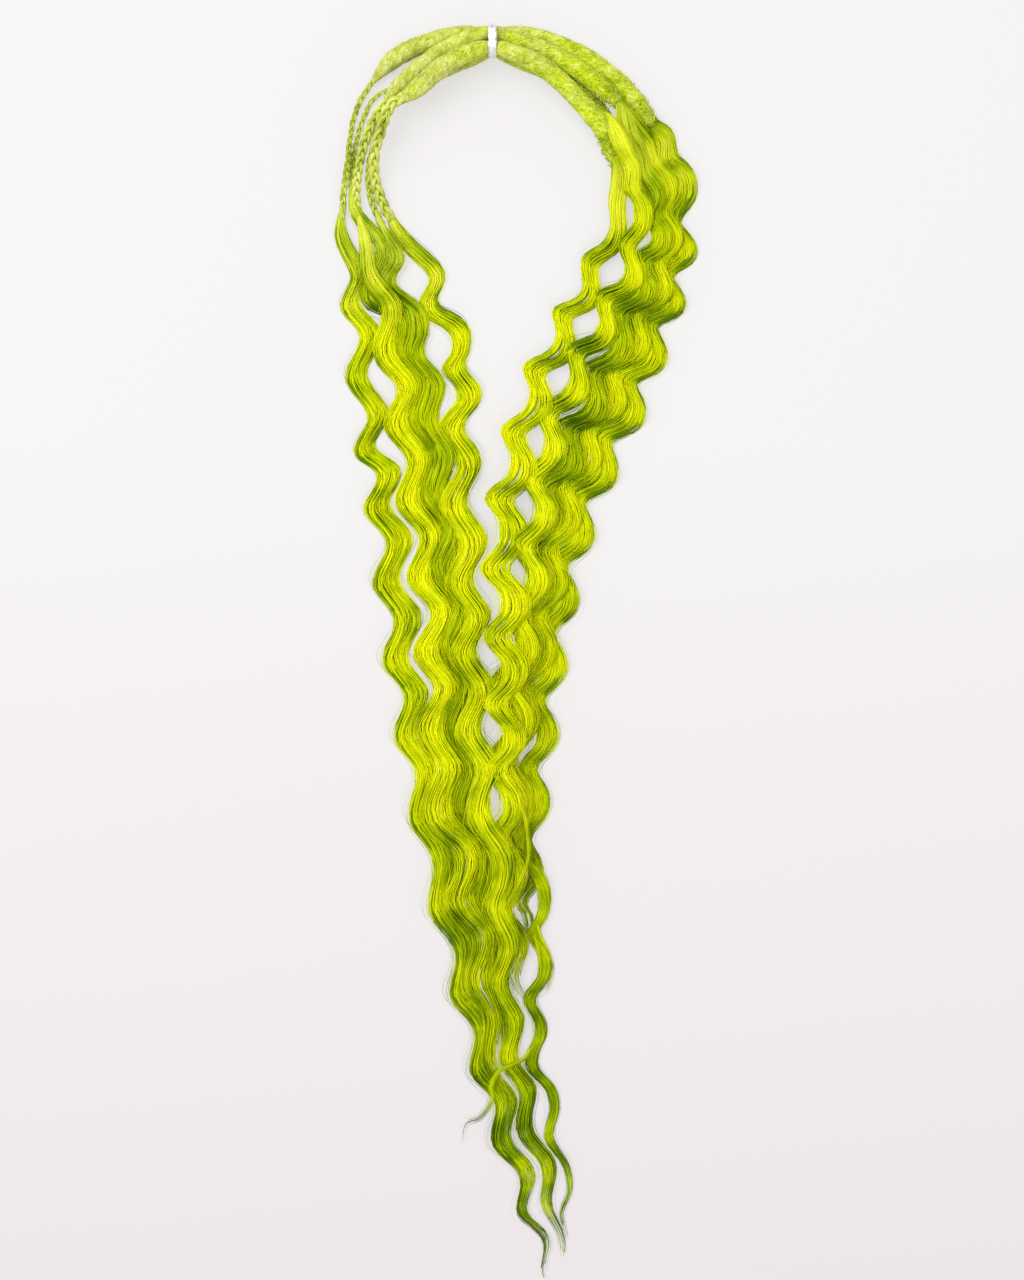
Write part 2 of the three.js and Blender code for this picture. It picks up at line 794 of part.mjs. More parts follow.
function roundedRectangle(left, bottom, right, top, radius) {
  const shape = new THREE.Shape();
  shape.moveTo(left + radius, bottom);
  shape.lineTo(right - radius, bottom);
  shape.absarc(right - radius, bottom + radius, radius, -Math.PI / 2, 0);
  shape.lineTo(right, top - radius);
  shape.absarc(right - radius, top - radius, radius, 0, Math.PI / 2);
  shape.lineTo(left + radius, top);
  shape.absarc(left + radius, top - radius, radius, Math.PI / 2, Math.PI);
  shape.lineTo(left, bottom + radius);
  shape.absarc(left + radius, bottom + radius, radius, Math.PI, 1.5 * Math.PI);
  return shape;
}

function makePiece(name, made) {
  if (DREADS[name]) {
    return new Piece(name, "round", dreadSections(DREADS[name]), DREADS[name].colour, null);
  }
  const entry = PLAITS[name] ?? LOCKS[name];
  const parent = made.find((piece) => piece.name === entry.from);
  const sections = PLAITS[name] ? plaitSections(entry, parent) : lockSections(entry, parent);
  return new Piece(name, "flat", sections, entry.colour, parent);
}

const pieces = [];
for (const name of PILE) {
  pieces.push(makePiece(name, pieces));
}
layPile(pieces);

// The finished part stands with the middle of its underside at the origin.
const laid = new THREE.Group();
laid.add(...pieces.map(pieceMesh));
laid.add(tieBand(pieces.filter((piece) => piece.name.startsWith("dread"))));
const extent = new THREE.Box3().setFromObject(laid, true);
const middle = extent.getCenter(new THREE.Vector3());
laid.position.set(-middle.x, -middle.y, -extent.min.z);

const group = new THREE.Group();
group.name = "wavy_hair_extension";
group.add(laid);

export default group;
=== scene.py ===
"""Looks of the wavy hair extension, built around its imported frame.

The extension lies flat with its tips towards -Y. Four felted dreads are folded at a foil band. On
the left they narrow into plaits that loosen into wavy locks, on the right they end in knots and
open straight into wavy locks. Lengths are metres.
"""

import json
import logging
import math
from dataclasses import dataclass
from enum import Enum
from typing import Any, Sequence

import bpy
import numpy as np
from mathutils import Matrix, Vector, noise
from mathutils.bvhtree import BVHTree

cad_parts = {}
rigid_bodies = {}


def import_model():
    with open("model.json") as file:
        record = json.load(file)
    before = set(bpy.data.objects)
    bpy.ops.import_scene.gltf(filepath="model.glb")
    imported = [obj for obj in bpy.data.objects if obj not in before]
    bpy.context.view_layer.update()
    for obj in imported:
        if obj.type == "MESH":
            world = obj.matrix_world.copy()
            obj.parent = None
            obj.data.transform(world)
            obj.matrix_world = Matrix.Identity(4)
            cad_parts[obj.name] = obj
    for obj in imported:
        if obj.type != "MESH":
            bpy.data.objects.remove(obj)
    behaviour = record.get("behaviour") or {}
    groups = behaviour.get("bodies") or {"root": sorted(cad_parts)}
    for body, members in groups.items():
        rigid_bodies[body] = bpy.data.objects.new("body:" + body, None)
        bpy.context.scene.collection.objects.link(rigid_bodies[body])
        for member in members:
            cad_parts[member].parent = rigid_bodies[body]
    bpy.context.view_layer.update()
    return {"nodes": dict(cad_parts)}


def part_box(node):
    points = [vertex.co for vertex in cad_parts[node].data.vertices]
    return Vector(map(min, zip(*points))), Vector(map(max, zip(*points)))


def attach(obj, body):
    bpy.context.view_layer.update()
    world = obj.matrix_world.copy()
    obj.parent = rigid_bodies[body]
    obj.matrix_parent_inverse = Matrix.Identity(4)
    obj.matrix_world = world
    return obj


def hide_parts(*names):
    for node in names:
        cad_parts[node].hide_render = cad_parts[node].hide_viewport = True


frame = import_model()

LOG = logging.getLogger("wavy_hair_extension")
BODY = "root"
MM = 0.001
TURN = 2 * math.pi

# Driving dimensions, the same as those of the frame.
DRAPE_LENGTH = 600 * MM
DRAPE_WIDTH = 172 * MM
MIDDLE_ALONG = 0.5
BAND_ACROSS = -0.064
BAND_ALONG = 0.986
DREAD_WIDTH = 9.2 * MM
DREAD_THICKNESS = 7.8 * MM
DREAD_SQUEEZED = 7.4 * MM
PLAIT_WIDTH = 5 * MM
PLAIT_THICKNESS = 3.4 * MM
LOCK_WIDTH = 9.4 * MM
LOCK_THICKNESS = 3.4 * MM
WAVE_SWING = 4 * MM
LAY_GAP = 0.4 * MM
ROOT_DEPTH = 7 * MM

# How strands spread in a lock: turns between neighbours, and bunches of strands that keep together.
GOLDEN_SHARE = 0.618034
SEED_STRIDE = 0.3773
BUNCHES = 3.0
BUNCH_PHASE = 0.26

# How much of the pale root colour shows at the root of a strand.
RIGHT_ROOT_SHARE = 0.32
LEFT_ROOT_SHARE = 0.6

Row = Sequence[float]
Point = tuple[float, float]
Colour = tuple[float, float, float]
Stops = Sequence[tuple[float, Colour]]
Line = tuple[np.ndarray, dict[str, np.ndarray]]


class Column(Enum):
    """The columns of the lock tables that are read by name."""

    WIDTH = -1
    WAVES = 2
    SWING = 3


class Shade(Enum):
    """How lit or shaded a lock's hair is painted, with the record's slot for it."""

    BRIGHT = "wavy_hair_bright"
    MIDDLE = "wavy_hair"
    DEEP = "wavy_hair_deep"


@dataclass(frozen=True)
class DreadPlan:
    """Stations of a dread, from its right end over the fold to its left end.

    Each row gives across, along and width as shares of the drape's and the dread's sizes.
    """

    right: tuple[Row, ...]
    left: tuple[Row, ...]
    farther_column: bool
    seed: int


@dataclass(frozen=True)
class PlaitPlan:
    """Stations of a plait from its dread outwards: across, along and width."""

    parent: str
    rows: tuple[Row, ...]
    seed: int
    pitch: float
    slimness: float = 1.0


@dataclass(frozen=True)
class LockPlan:
    """Stations of a wavy lock from its parent outwards: across, along, waves, swing and width."""

    parent: str
    shade: Shade
    rows: tuple[Row, ...]
    seed: int
    root_fullness: float = 1.1
    lobe: float = 0.0
    tail: float = 1.0
    wisps: tuple[tuple[Point, ...], ...] = ()


DREADS = {
    "dread_outer": DreadPlan(
        right=((0.383, 0.921, 0.95), (0.286, 0.955, 1.0), (0.166, 0.979, 1.0), (0.04, 0.992, 0.92)),
        left=((-0.149, 0.993, 0.92), (-0.252, 0.986, 1.0), (-0.341, 0.973, 1.0), (-0.4, 0.955, 0.66)),
        farther_column=True,
        seed=11,
    ),
    "dread_under": DreadPlan(
        right=((0.262, 0.923, 0.88), (0.194, 0.944, 0.92), (0.096, 0.963, 0.92), (-0.001, 0.974, 0.88)),
        left=((-0.149, 0.972, 0.88), (-0.243, 0.96, 0.88), (-0.338, 0.951, 0.52)),
        farther_column=False,
        seed=12,
    ),
    "dread_middle": DreadPlan(
        right=((0.291, 0.936, 0.96), (0.196, 0.959, 1.0), (0.082, 0.978, 1.0), (-0.001, 0.985, 0.92)),
        left=((-0.169, 0.983, 0.92), (-0.26, 0.966, 1.0), (-0.33, 0.947, 0.94), (-0.371, 0.932, 0.7)),
        farther_column=True,
        seed=13,
    ),
    "dread_inner": DreadPlan(
        right=(
            (0.284, 0.887, 0.92), (0.258, 0.909, 0.98), (0.188, 0.935, 1.0), (0.082, 0.963, 1.0),
            (-0.001, 0.974, 0.92),
        ),
        left=((-0.155, 0.972, 0.95), (-0.21, 0.962, 1.0), (-0.29, 0.943, 0.92), (-0.341, 0.934, 0.74)),
        farther_column=False,
        seed=14,
    ),
}

PLAITS = {
    "plait_under": PlaitPlan(
        "dread_under", seed=21, pitch=11.5 * MM, slimness=0.85,
        rows=(
            (-0.35, 0.954, 0.62), (-0.394, 0.943, 0.65), (-0.43, 0.922, 0.65), (-0.45, 0.899, 0.65),
            (-0.458, 0.879, 0.7), (-0.455, 0.862, 0.72),
        ),
    ),
    "plait_outer": PlaitPlan(
        "dread_outer", seed=22, pitch=12.0 * MM, slimness=0.72,
        rows=(
            (-0.398, 0.948, 0.85), (-0.44, 0.936, 0.85), (-0.458, 0.915, 0.85), (-0.466, 0.893, 0.9),
            (-0.478, 0.869, 1.0), (-0.483, 0.846, 0.9),
        ),
    ),
    "plait_second": PlaitPlan(
        "dread_inner", seed=23, pitch=12.5 * MM, slimness=0.95,
        rows=(
            (-0.346, 0.925, 0.6), (-0.38, 0.911, 0.65), (-0.405, 0.895, 0.65), (-0.411, 0.877, 0.7),
            (-0.397, 0.857, 0.75), (-0.371, 0.842, 0.75),
        ),
    ),
    "plait_middle": PlaitPlan(
        "dread_middle", seed=24, pitch=14.5 * MM,
        rows=(
            (-0.373, 0.929, 1.1), (-0.41, 0.912, 1.1), (-0.433, 0.892, 1.0), (-0.444, 0.869, 0.95),
            (-0.438, 0.852, 0.9), (-0.429, 0.841, 0.85),
        ),
    ),
    "plait_inner": PlaitPlan(
        "dread_inner", seed=25, pitch=17.0 * MM,
        rows=(
            (-0.338, 0.929, 1.2), (-0.373, 0.913, 1.2), (-0.391, 0.896, 1.2), (-0.391, 0.878, 1.2),
            (-0.371, 0.859, 1.15), (-0.346, 0.846, 1.05),
        ),
    ),
}

LOCKS = {
    "right_outer_lock": LockPlan(
        "dread_outer", Shade.MIDDLE, seed=31, root_fullness=1.3, lobe=0.16,
        rows=(
            (0.384, 0.92, -0.9, 0.1, 0.8), (0.447, 0.893, -0.1, 0.6, 0.9), (0.457, 0.834, 1.0, 0.95, 0.85),
            (0.433, 0.791, 2.0, 0.95, 0.85), (0.327, 0.705, 4.0, 1.0, 0.9), (0.182, 0.609, 6.0, 0.95, 0.85),
            (0.099, 0.505, 8.0, 0.9, 0.78), (0.057, 0.395, 10.0, 0.85, 0.6), (0.032, 0.291, 12.0, 0.6, 0.4),
            (0.015, 0.259, 12.6, 0.4, 0.15),
        ),
    ),
    "right_middle_lock": LockPlan(
        "dread_middle", Shade.MIDDLE, seed=32, root_fullness=1.15, lobe=0.16, tail=0.62,
        rows=(
            (0.296, 0.933, -1.5, 0.0, 0.6), (0.341, 0.913, -0.9, 0.1, 0.8), (0.404, 0.881, 0.0, 0.4, 0.85),
            (0.419, 0.84, 1.0, 0.7, 0.8), (0.397, 0.798, 2.0, 0.9, 0.85), (0.269, 0.709, 4.0, 1.0, 0.9),
            (0.141, 0.618, 6.0, 1.0, 0.9), (0.071, 0.514, 8.0, 1.0, 0.8), (0.004, 0.399, 10.0, 1.0, 0.65),
            (0.071, 0.287, 11.5, 0.9, 0.55), (0.057, 0.185, 13.5, 0.7, 0.6), (0.104, 0.128, 14.5, 0.8, 0.5),
            (0.143, 0.063, 15.5, 0.7, 0.3), (0.141, 0.031, 16.1, 0.4, 0.15),
        ),
        wisps=(
            (
                (0.04, 0.183), (0.026, 0.176), (-0.015, 0.17), (-0.043, 0.167), (-0.068, 0.155),
                (-0.065, 0.143), (-0.099, 0.128), (-0.138, 0.123), (-0.149, 0.107),
            ),
            ((0.06, 0.283), (0.068, 0.275), (0.099, 0.255), (0.102, 0.243), (0.082, 0.229), (0.046, 0.223)),
            ((0.05, 0.275), (0.063, 0.263), (0.068, 0.251), (0.063, 0.235), (0.043, 0.224)),
        ),
    ),
    "right_third_lock": LockPlan(
        "dread_middle", Shade.DEEP, seed=33, root_fullness=1.45, lobe=0.16,
        rows=(
            (0.288, 0.932, -1.4, 0.0, 0.55), (0.318, 0.908, -0.9, 0.1, 0.75),
            (0.364, 0.879, -0.1, 0.3, 0.8), (0.391, 0.84, 1.0, 0.7, 0.75), (0.358, 0.8, 2.0, 0.9, 0.8),
            (0.221, 0.71, 4.0, 1.0, 0.9), (0.091, 0.619, 6.0, 1.0, 0.88), (0.032, 0.514, 8.0, 1.0, 0.8),
            (-0.01, 0.402, 10.0, 0.9, 0.6), (-0.001, 0.326, 11.3, 0.7, 0.45),
            (-0.01, 0.279, 12.1, 0.4, 0.15),
        ),
    ),
    "right_second_lock": LockPlan(
        "dread_under", Shade.BRIGHT, seed=34, root_fullness=1.5, lobe=0.16,
        rows=(
            (0.268, 0.919, -1.5, 0.05, 0.5), (0.304, 0.896, -0.9, 0.1, 0.55),
            (0.341, 0.862, 0.0, 0.5, 0.65), (0.322, 0.81, 1.0, 0.8, 0.75), (0.252, 0.767, 2.0, 0.95, 0.78),
            (0.102, 0.676, 4.0, 1.0, 0.85), (0.046, 0.572, 6.0, 1.0, 0.8), (-0.007, 0.462, 8.0, 1.0, 0.9),
            (-0.021, 0.338, 10.0, 1.0, 0.8), (-0.01, 0.283, 11.0, 0.8, 0.6),
            (0.007, 0.219, 12.2, 0.5, 0.18),
        ),
        wisps=(
            (
                (0.01, 0.38), (0.024, 0.37), (0.032, 0.354), (0.035, 0.338), (0.021, 0.325),
                (-0.029, 0.298), (-0.065, 0.288),
            ),
        ),
    ),
    "right_inner_lock": LockPlan(
        "dread_inner", Shade.BRIGHT, seed=35, root_fullness=1.2, lobe=0.16,
        rows=(
            (0.284, 0.884, -0.7, 0.05, 0.7), (0.286, 0.844, 0.0, 0.4, 0.7), (0.208, 0.796, 1.0, 0.9, 0.8),
            (0.065, 0.711, 3.0, 1.0, 0.9), (-0.018, 0.609, 5.0, 1.05, 1.05),
            (-0.021, 0.526, 6.5, 1.05, 1.0), (-0.024, 0.445, 8.0, 1.0, 0.75),
            (-0.018, 0.339, 10.0, 0.9, 0.6), (0.013, 0.255, 11.5, 0.6, 0.4),
            (0.029, 0.219, 12.1, 0.3, 0.15),
        ),
    ),
    "left_under_lock": LockPlan(
        "plait_under", Shade.DEEP, seed=36,
        rows=(
            (-0.454, 0.859, -0.3, 0.0, 0.42), (-0.391, 0.821, 0.3, 1.0, 0.7),
            (-0.38, 0.785, 0.8, 1.0, 0.72), (-0.313, 0.753, 1.5, 0.9, 0.72),
            (-0.272, 0.671, 3.0, 0.9, 0.75), (-0.21, 0.582, 4.5, 0.9, 0.75),
            (-0.188, 0.488, 6.0, 1.0, 0.75), (-0.171, 0.39, 7.5, 0.9, 0.65),
            (-0.099, 0.317, 8.5, 0.8, 0.55), (-0.043, 0.219, 10.0, 0.5, 0.2),
        ),
    ),
    "left_second_lock": LockPlan(
        "plait_second", Shade.DEEP, seed=37,
        rows=(
            (-0.367, 0.839, -0.1, 0.3, 0.42), (-0.345, 0.815, 0.3, 0.8, 0.6),
            (-0.336, 0.796, 0.75, 0.9, 0.65), (-0.272, 0.752, 1.5, 0.9, 0.72),
            (-0.221, 0.673, 3.0, 0.7, 0.8), (-0.182, 0.583, 4.5, 1.0, 0.75), (-0.152, 0.488, 6.0, 1.0, 0.7),
            (-0.124, 0.39, 7.5, 0.95, 0.7), (-0.079, 0.317, 8.5, 0.8, 0.65), (-0.043, 0.22, 10.0, 0.6, 0.5),
            (-0.01, 0.155, 11.0, 0.4, 0.18),
        ),
    ),
    "left_outer_lock": LockPlan(
        "plait_outer", Shade.MIDDLE, seed=38,
        rows=(
            (-0.483, 0.843, -0.35, 0.2, 0.5), (-0.455, 0.804, 0.25, 0.8, 0.72),
            (-0.433, 0.767, 1.0, 1.0, 0.75), (-0.403, 0.677, 2.5, 1.15, 0.85),
            (-0.369, 0.63, 3.5, 1.05, 0.95), (-0.319, 0.512, 5.5, 1.05, 1.0),
            (-0.26, 0.389, 7.5, 0.9, 0.75), (-0.146, 0.247, 9.5, 0.9, 0.75),
            (-0.035, 0.128, 11.5, 0.9, 0.75), (0.052, 0.043, 13.0, 0.9, 0.3),
            (0.099, 0.001, 13.8, 0.6, 0.15),
        ),
    ),
    "left_inner_lock": LockPlan(
        "plait_inner", Shade.BRIGHT, seed=39,
        rows=(
            (-0.341, 0.842, -0.3, 0.0, 0.55), (-0.241, 0.802, 0.25, 0.9, 0.72),
            (-0.217, 0.777, 0.8, 0.95, 0.76), (-0.155, 0.739, 1.5, 0.9, 0.85),
            (-0.152, 0.666, 3.0, 1.0, 1.0), (-0.135, 0.572, 4.5, 0.95, 1.0),
            (-0.116, 0.485, 6.0, 1.0, 0.85), (-0.091, 0.393, 7.5, 0.9, 0.8), (-0.04, 0.314, 8.5, 0.8, 0.7),
            (-0.024, 0.22, 10.0, 0.7, 0.65), (0.029, 0.135, 11.5, 0.7, 0.6),
            (0.091, 0.073, 12.5, 0.7, 0.45), (0.127, 0.014, 13.5, 0.4, 0.15),
        ),
    ),
    "left_middle_lock": LockPlan(
        "plait_middle", Shade.BRIGHT, seed=40,
        rows=(
            (-0.426, 0.838, 0.0, 0.1, 0.45), (-0.414, 0.814, 0.5, 0.3, 0.6),
            (-0.377, 0.788, 1.0, 0.7, 0.75), (-0.336, 0.725, 2.0, 1.1, 0.85),
            (-0.288, 0.638, 3.5, 1.0, 0.85), (-0.238, 0.546, 5.0, 1.15, 0.85),
            (-0.219, 0.457, 6.5, 1.05, 0.85), (-0.21, 0.391, 7.5, 1.1, 1.05),
            (-0.138, 0.319, 8.5, 1.2, 1.05), (-0.096, 0.255, 9.5, 0.8, 0.85),
            (-0.071, 0.191, 10.5, 0.6, 0.6), (-0.021, 0.131, 11.4, 0.4, 0.18),
        ),
    ),
}


def design_offset() -> np.ndarray:
    """The shift from the design's plan to the frame, read off the tie band's place.

    Returns:
        The shift in X and Y.
    """
    low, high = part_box("tie_band")
    design = np.array([BAND_ACROSS * DRAPE_WIDTH, (BAND_ALONG - MIDDLE_ALONG) * DRAPE_LENGTH])
    return np.array([(low.x + high.x) / 2, (low.y + high.y) / 2]) - design


OFFSET = design_offset()


def plan_point(across: float, along: float) -> np.ndarray:
    """X and Y of a point of the plan at shares of the drape's width and length."""
    return np.array([across * DRAPE_WIDTH, (along - MIDDLE_ALONG) * DRAPE_LENGTH]) + OFFSET


def running_length(points: np.ndarray) -> np.ndarray:
    """The length run from the first point up to each point."""
    return np.concatenate([[0], np.cumsum(np.linalg.norm(np.diff(points, axis=0), axis=1))])


def side_directions(points: np.ndarray) -> np.ndarray:
    """The directions to the left of a plan line.

    Args:
        points: X and Y of the line.

    Returns:
        X and Y of the direction at each point.
    """
    run = np.gradient(points, axis=0)
    run /= np.linalg.norm(run, axis=1)[:, None]
    return np.stack([-run[:, 1], run[:, 0]], axis=1)


def eased(values: np.ndarray) -> np.ndarray:
    """Smooth steps from 0 to 1."""
    held = np.clip(values, 0, 1)
    return held * held * (3 - 2 * held)


def averaged(values: np.ndarray, reach: int) -> np.ndarray:
    """Each value averaged with its neighbours up to a reach on both sides."""
    window = np.ones(2 * reach + 1) / (2 * reach + 1)
    return np.convolve(np.pad(values, reach, mode="edge"), window, mode="valid")


def strand_attributes(
    points: np.ndarray, root_share: float, **values: np.ndarray | float
) -> dict[str, np.ndarray]:
    """What the strand groups and the hair finish read along a plan line.

    Args:
        points: X and Y of the line.
        root_share: How much of the pale root colour shows at the root. It fades out.
        values: More attributes, as numbers for the line or for each point.

    Returns:
        The attributes by name.
    """
    run, side = running_length(points), side_directions(points)
    attributes = {name: value * np.ones(len(points)) for name, value in values.items()}
    return attributes | {
        "side": np.column_stack([side, np.zeros(len(side))]),
        "run": run,
        "root_share": root_share * (1 - np.clip(run / (60 * MM), 0, 1)),
    }


class Guide:
    """A smooth line through the stations of a table, which every column follows."""

    def __init__(self, places: Sequence[np.ndarray], **columns: Sequence[float]) -> None:
        """Keeps the stations.

        Args:
            places: X and Y of each station.
            columns: The other columns by name.
        """
        self.columns = columns
        self.last = len(places) - 1
        points = np.array(places, dtype=float)
        self.padded = np.vstack([2 * points[0] - points[1], points, 2 * points[-1] - points[-2]])

    def place(self, positions: np.ndarray) -> np.ndarray:
        """Points of the centripetal spline.

        Args:
            positions: Station numbers, with fractions.

        Returns:
            X and Y for each position.
        """
        low = np.clip(np.floor(positions).astype(int), 0, self.last - 1)
        weight = (positions - low)[:, None]
        before, start, end, after = (self.padded[low + shift] for shift in range(4))
        spans = ((before, start), (start, end), (end, after))
        knots = [np.sqrt(np.linalg.norm(b - a, axis=1))[:, None] for a, b in spans]
        rise = end - start
        first = (start - before) / knots[0] - (end - before) / (knots[0] + knots[1]) + rise / knots[1]
        second = rise / knots[1] - (after - start) / (knots[1] + knots[2]) + (after - end) / knots[2]
        first, second = first * knots[1], second * knots[1]
        bend = (3 * rise - 2 * first - second) * weight**2
        return start + first * weight + bend + (first - 2 * rise + second) * weight**3

    def column(self, name: str, positions: np.ndarray) -> np.ndarray:
        """The values of one column, in straight steps between the stations."""
        return np.interp(positions, np.arange(self.last + 1), self.columns[name])

    def even_positions(self, step: float) -> np.ndarray:
        """Positions that stand an even length apart.

        Args:
            step: The length between two positions.

        Returns:
            Station numbers, with fractions, from the first station to the last.
        """
        fine = np.linspace(0, self.last, 60 * self.last + 1)
        run = running_length(self.place(fine))
        count = max(4, math.ceil(run[-1] / step))
        return np.interp(np.linspace(0, run[-1], count + 1), run, fine)


class Bed:
    """The heights at which a node of the frame lies."""

    REACH = 0.5

    def __init__(self, node: str) -> None:
        """Reads a node's solid.

        Args:
            node: The node's name.
        """
        source = frame["nodes"][node]
        vertices = [source.matrix_world @ vertex.co for vertex in source.data.vertices]
        self.tree = BVHTree.FromPolygons(vertices, [tuple(face.vertices) for face in source.data.polygons])

    def hit(self, x: float, y: float, way: int) -> float:
        """The height of the solid seen at a plan point, upwards (1) or downwards (-1), or NaN beside it."""
        found = self.tree.ray_cast(Vector((x, y, -way * self.REACH)), Vector((0, 0, way)))[0]
        return math.nan if found is None else found.z

    def middle(self, x: float, y: float) -> float:
        """The height of the solid's middle at a plan point, or NaN beside the solid."""
        return (self.hit(x, y, -1) + self.hit(x, y, 1)) / 2

    def heights(self, points: np.ndarray, smooth: int, root: "Bed | None" = None) -> np.ndarray:
        """The heights of the solid's middle under plan points.

        Args:
            points: X and Y of each point, in order along the piece.
            smooth: How many neighbours on each side are averaged.
            root: The bed of the piece that this one grows from, for its first points.

        Returns:
            Z for each point. A point beside the solid takes its neighbours' height.
        """
        found = np.array([self.middle(x, y) for x, y in points])
        if root is not None and math.isnan(found[0]):
            found[0] = root.middle(*points[0])
        known = np.flatnonzero(~np.isnan(found))
        return averaged(np.interp(np.arange(len(points)), known, found[known]), smooth)


class Value:
    """A node's output that is reckoned with like a number."""

    def __init__(self, nodes: "NodeTree", socket: bpy.types.NodeSocket) -> None:
        """Keeps the socket and the tree that it is in."""
        self.nodes, self.socket = nodes, socket

    def __add__(self, other: "Value | float") -> "Value":
        """The sum."""
        return self.nodes.math("ADD", self, other)

    def __sub__(self, other: "Value | float") -> "Value":
        """The difference."""
        return self.nodes.math("SUBTRACT", self, other)

    def __rsub__(self, other: float) -> "Value":
        """The difference from a number."""
        return self.nodes.math("SUBTRACT", other, self)

    def __mul__(self, other: "Value | float") -> "Value":
        """The product."""
        return self.nodes.math("MULTIPLY", self, other)

    def __truediv__(self, other: "Value | float") -> "Value":
        """The quotient."""
        return self.nodes.math("DIVIDE", self, other)

    def __pow__(self, other: float) -> "Value":
        """The power."""
        return self.nodes.math("POWER", self, other)

    def __abs__(self) -> "Value":
        """The size without its sign."""
        return self.nodes.math("ABSOLUTE", self)

    def held(self, low: float, high: float) -> "Value":
        """The number, no lower and no higher than two limits."""
        return self.nodes.math("MINIMUM", self.nodes.math("MAXIMUM", self, low), high)


Inputs = dict[str | int, Any] | None


class NodeTree:
    """Adds nodes to a tree and links them, by the names of their sockets."""

    def __init__(self, tree: bpy.types.NodeTree) -> None:
        """Keeps the tree."""
        self.tree = tree

    @staticmethod
    def pick(sockets: Any, name: str | int) -> bpy.types.NodeSocket:
        """The socket in use with a name, or the one at a place in the list."""
        if isinstance(name, int):
            return sockets[name]
        return next(socket for socket in sockets if socket.name == name and socket.enabled)

    def add(self, kind: str, inputs: Inputs = None, **settings: Any) -> bpy.types.Node:
        """Adds a node.

        Args:
            kind: The node's type.
            inputs: What its inputs hold, or the values that feed them.
            settings: The node's own settings.

        Returns:
            The node.
        """
        node = self.tree.nodes.new(kind)
        for name, setting in settings.items():
            setattr(node, name, setting)
        for name, content in (inputs or {}).items():
            socket = self.pick(node.inputs, name)
            if isinstance(content, Value):
                self.tree.links.new(content.socket, socket)
            else:
                socket.default_value = content
        return node

    def outs(self, names: Sequence[str | int], kind: str, inputs: Inputs, **settings: Any) -> list[Value]:
        """Adds a node and gives the outputs with these names."""
        node = self.add(kind, inputs, **settings)
        return [Value(self, self.pick(node.outputs, name)) for name in names]

    def out(self, kind: str, output: str | int = 0, inputs: Inputs = None, **settings: Any) -> Value:
        """Adds a node and gives one of its outputs."""
        return self.outs((output,), kind, inputs, **settings)[0]

    def math(self, operation: str, *values: Any) -> Value:
        """An operation on numbers."""
        return self.out("ShaderNodeMath", 0, dict(enumerate(values)), operation=operation)

    def sine(self, angle: Value) -> Value:
        """The sine of an angle."""
        return self.math("SINE", angle)

    def cosine(self, angle: Value) -> Value:
        """The cosine of an angle."""
        return self.math("COSINE", angle)

    def vector(self, operation: str, inputs: Inputs) -> Value:
        """An operation on vectors."""
        return self.out("ShaderNodeVectorMath", 0, inputs, operation=operation)

    def combined(self, *parts: Any) -> Value:
        """A vector from three numbers."""
        return self.out("ShaderNodeCombineXYZ", 0, dict(enumerate(parts)))

    def parts(self, vector: Value) -> list[Value]:
        """The three numbers of a vector."""
        return self.outs((0, 1, 2), "ShaderNodeSeparateXYZ", {0: vector})

    def noise(
        self, place: Value, scale: float, detail: float, roughness: float = 0.5, output: str = "Fac"
    ) -> Value:
        """A noise over a place, as a number or as a colour."""
        inputs = {"Vector": place, "Scale": scale, "Detail": detail, "Roughness": roughness}
        return self.out("ShaderNodeTexNoise", output, inputs)

    def ranged(self, value: Value, start: float, end: float, low: float = 0.0, high: float = 1.0) -> Value:
        """A number that runs from low to high while another one runs from start to end."""
        inputs = {"Value": value, "From Min": start, "From Max": end, "To Min": low, "To Max": high}
        return self.out("ShaderNodeMapRange", "Result", inputs)


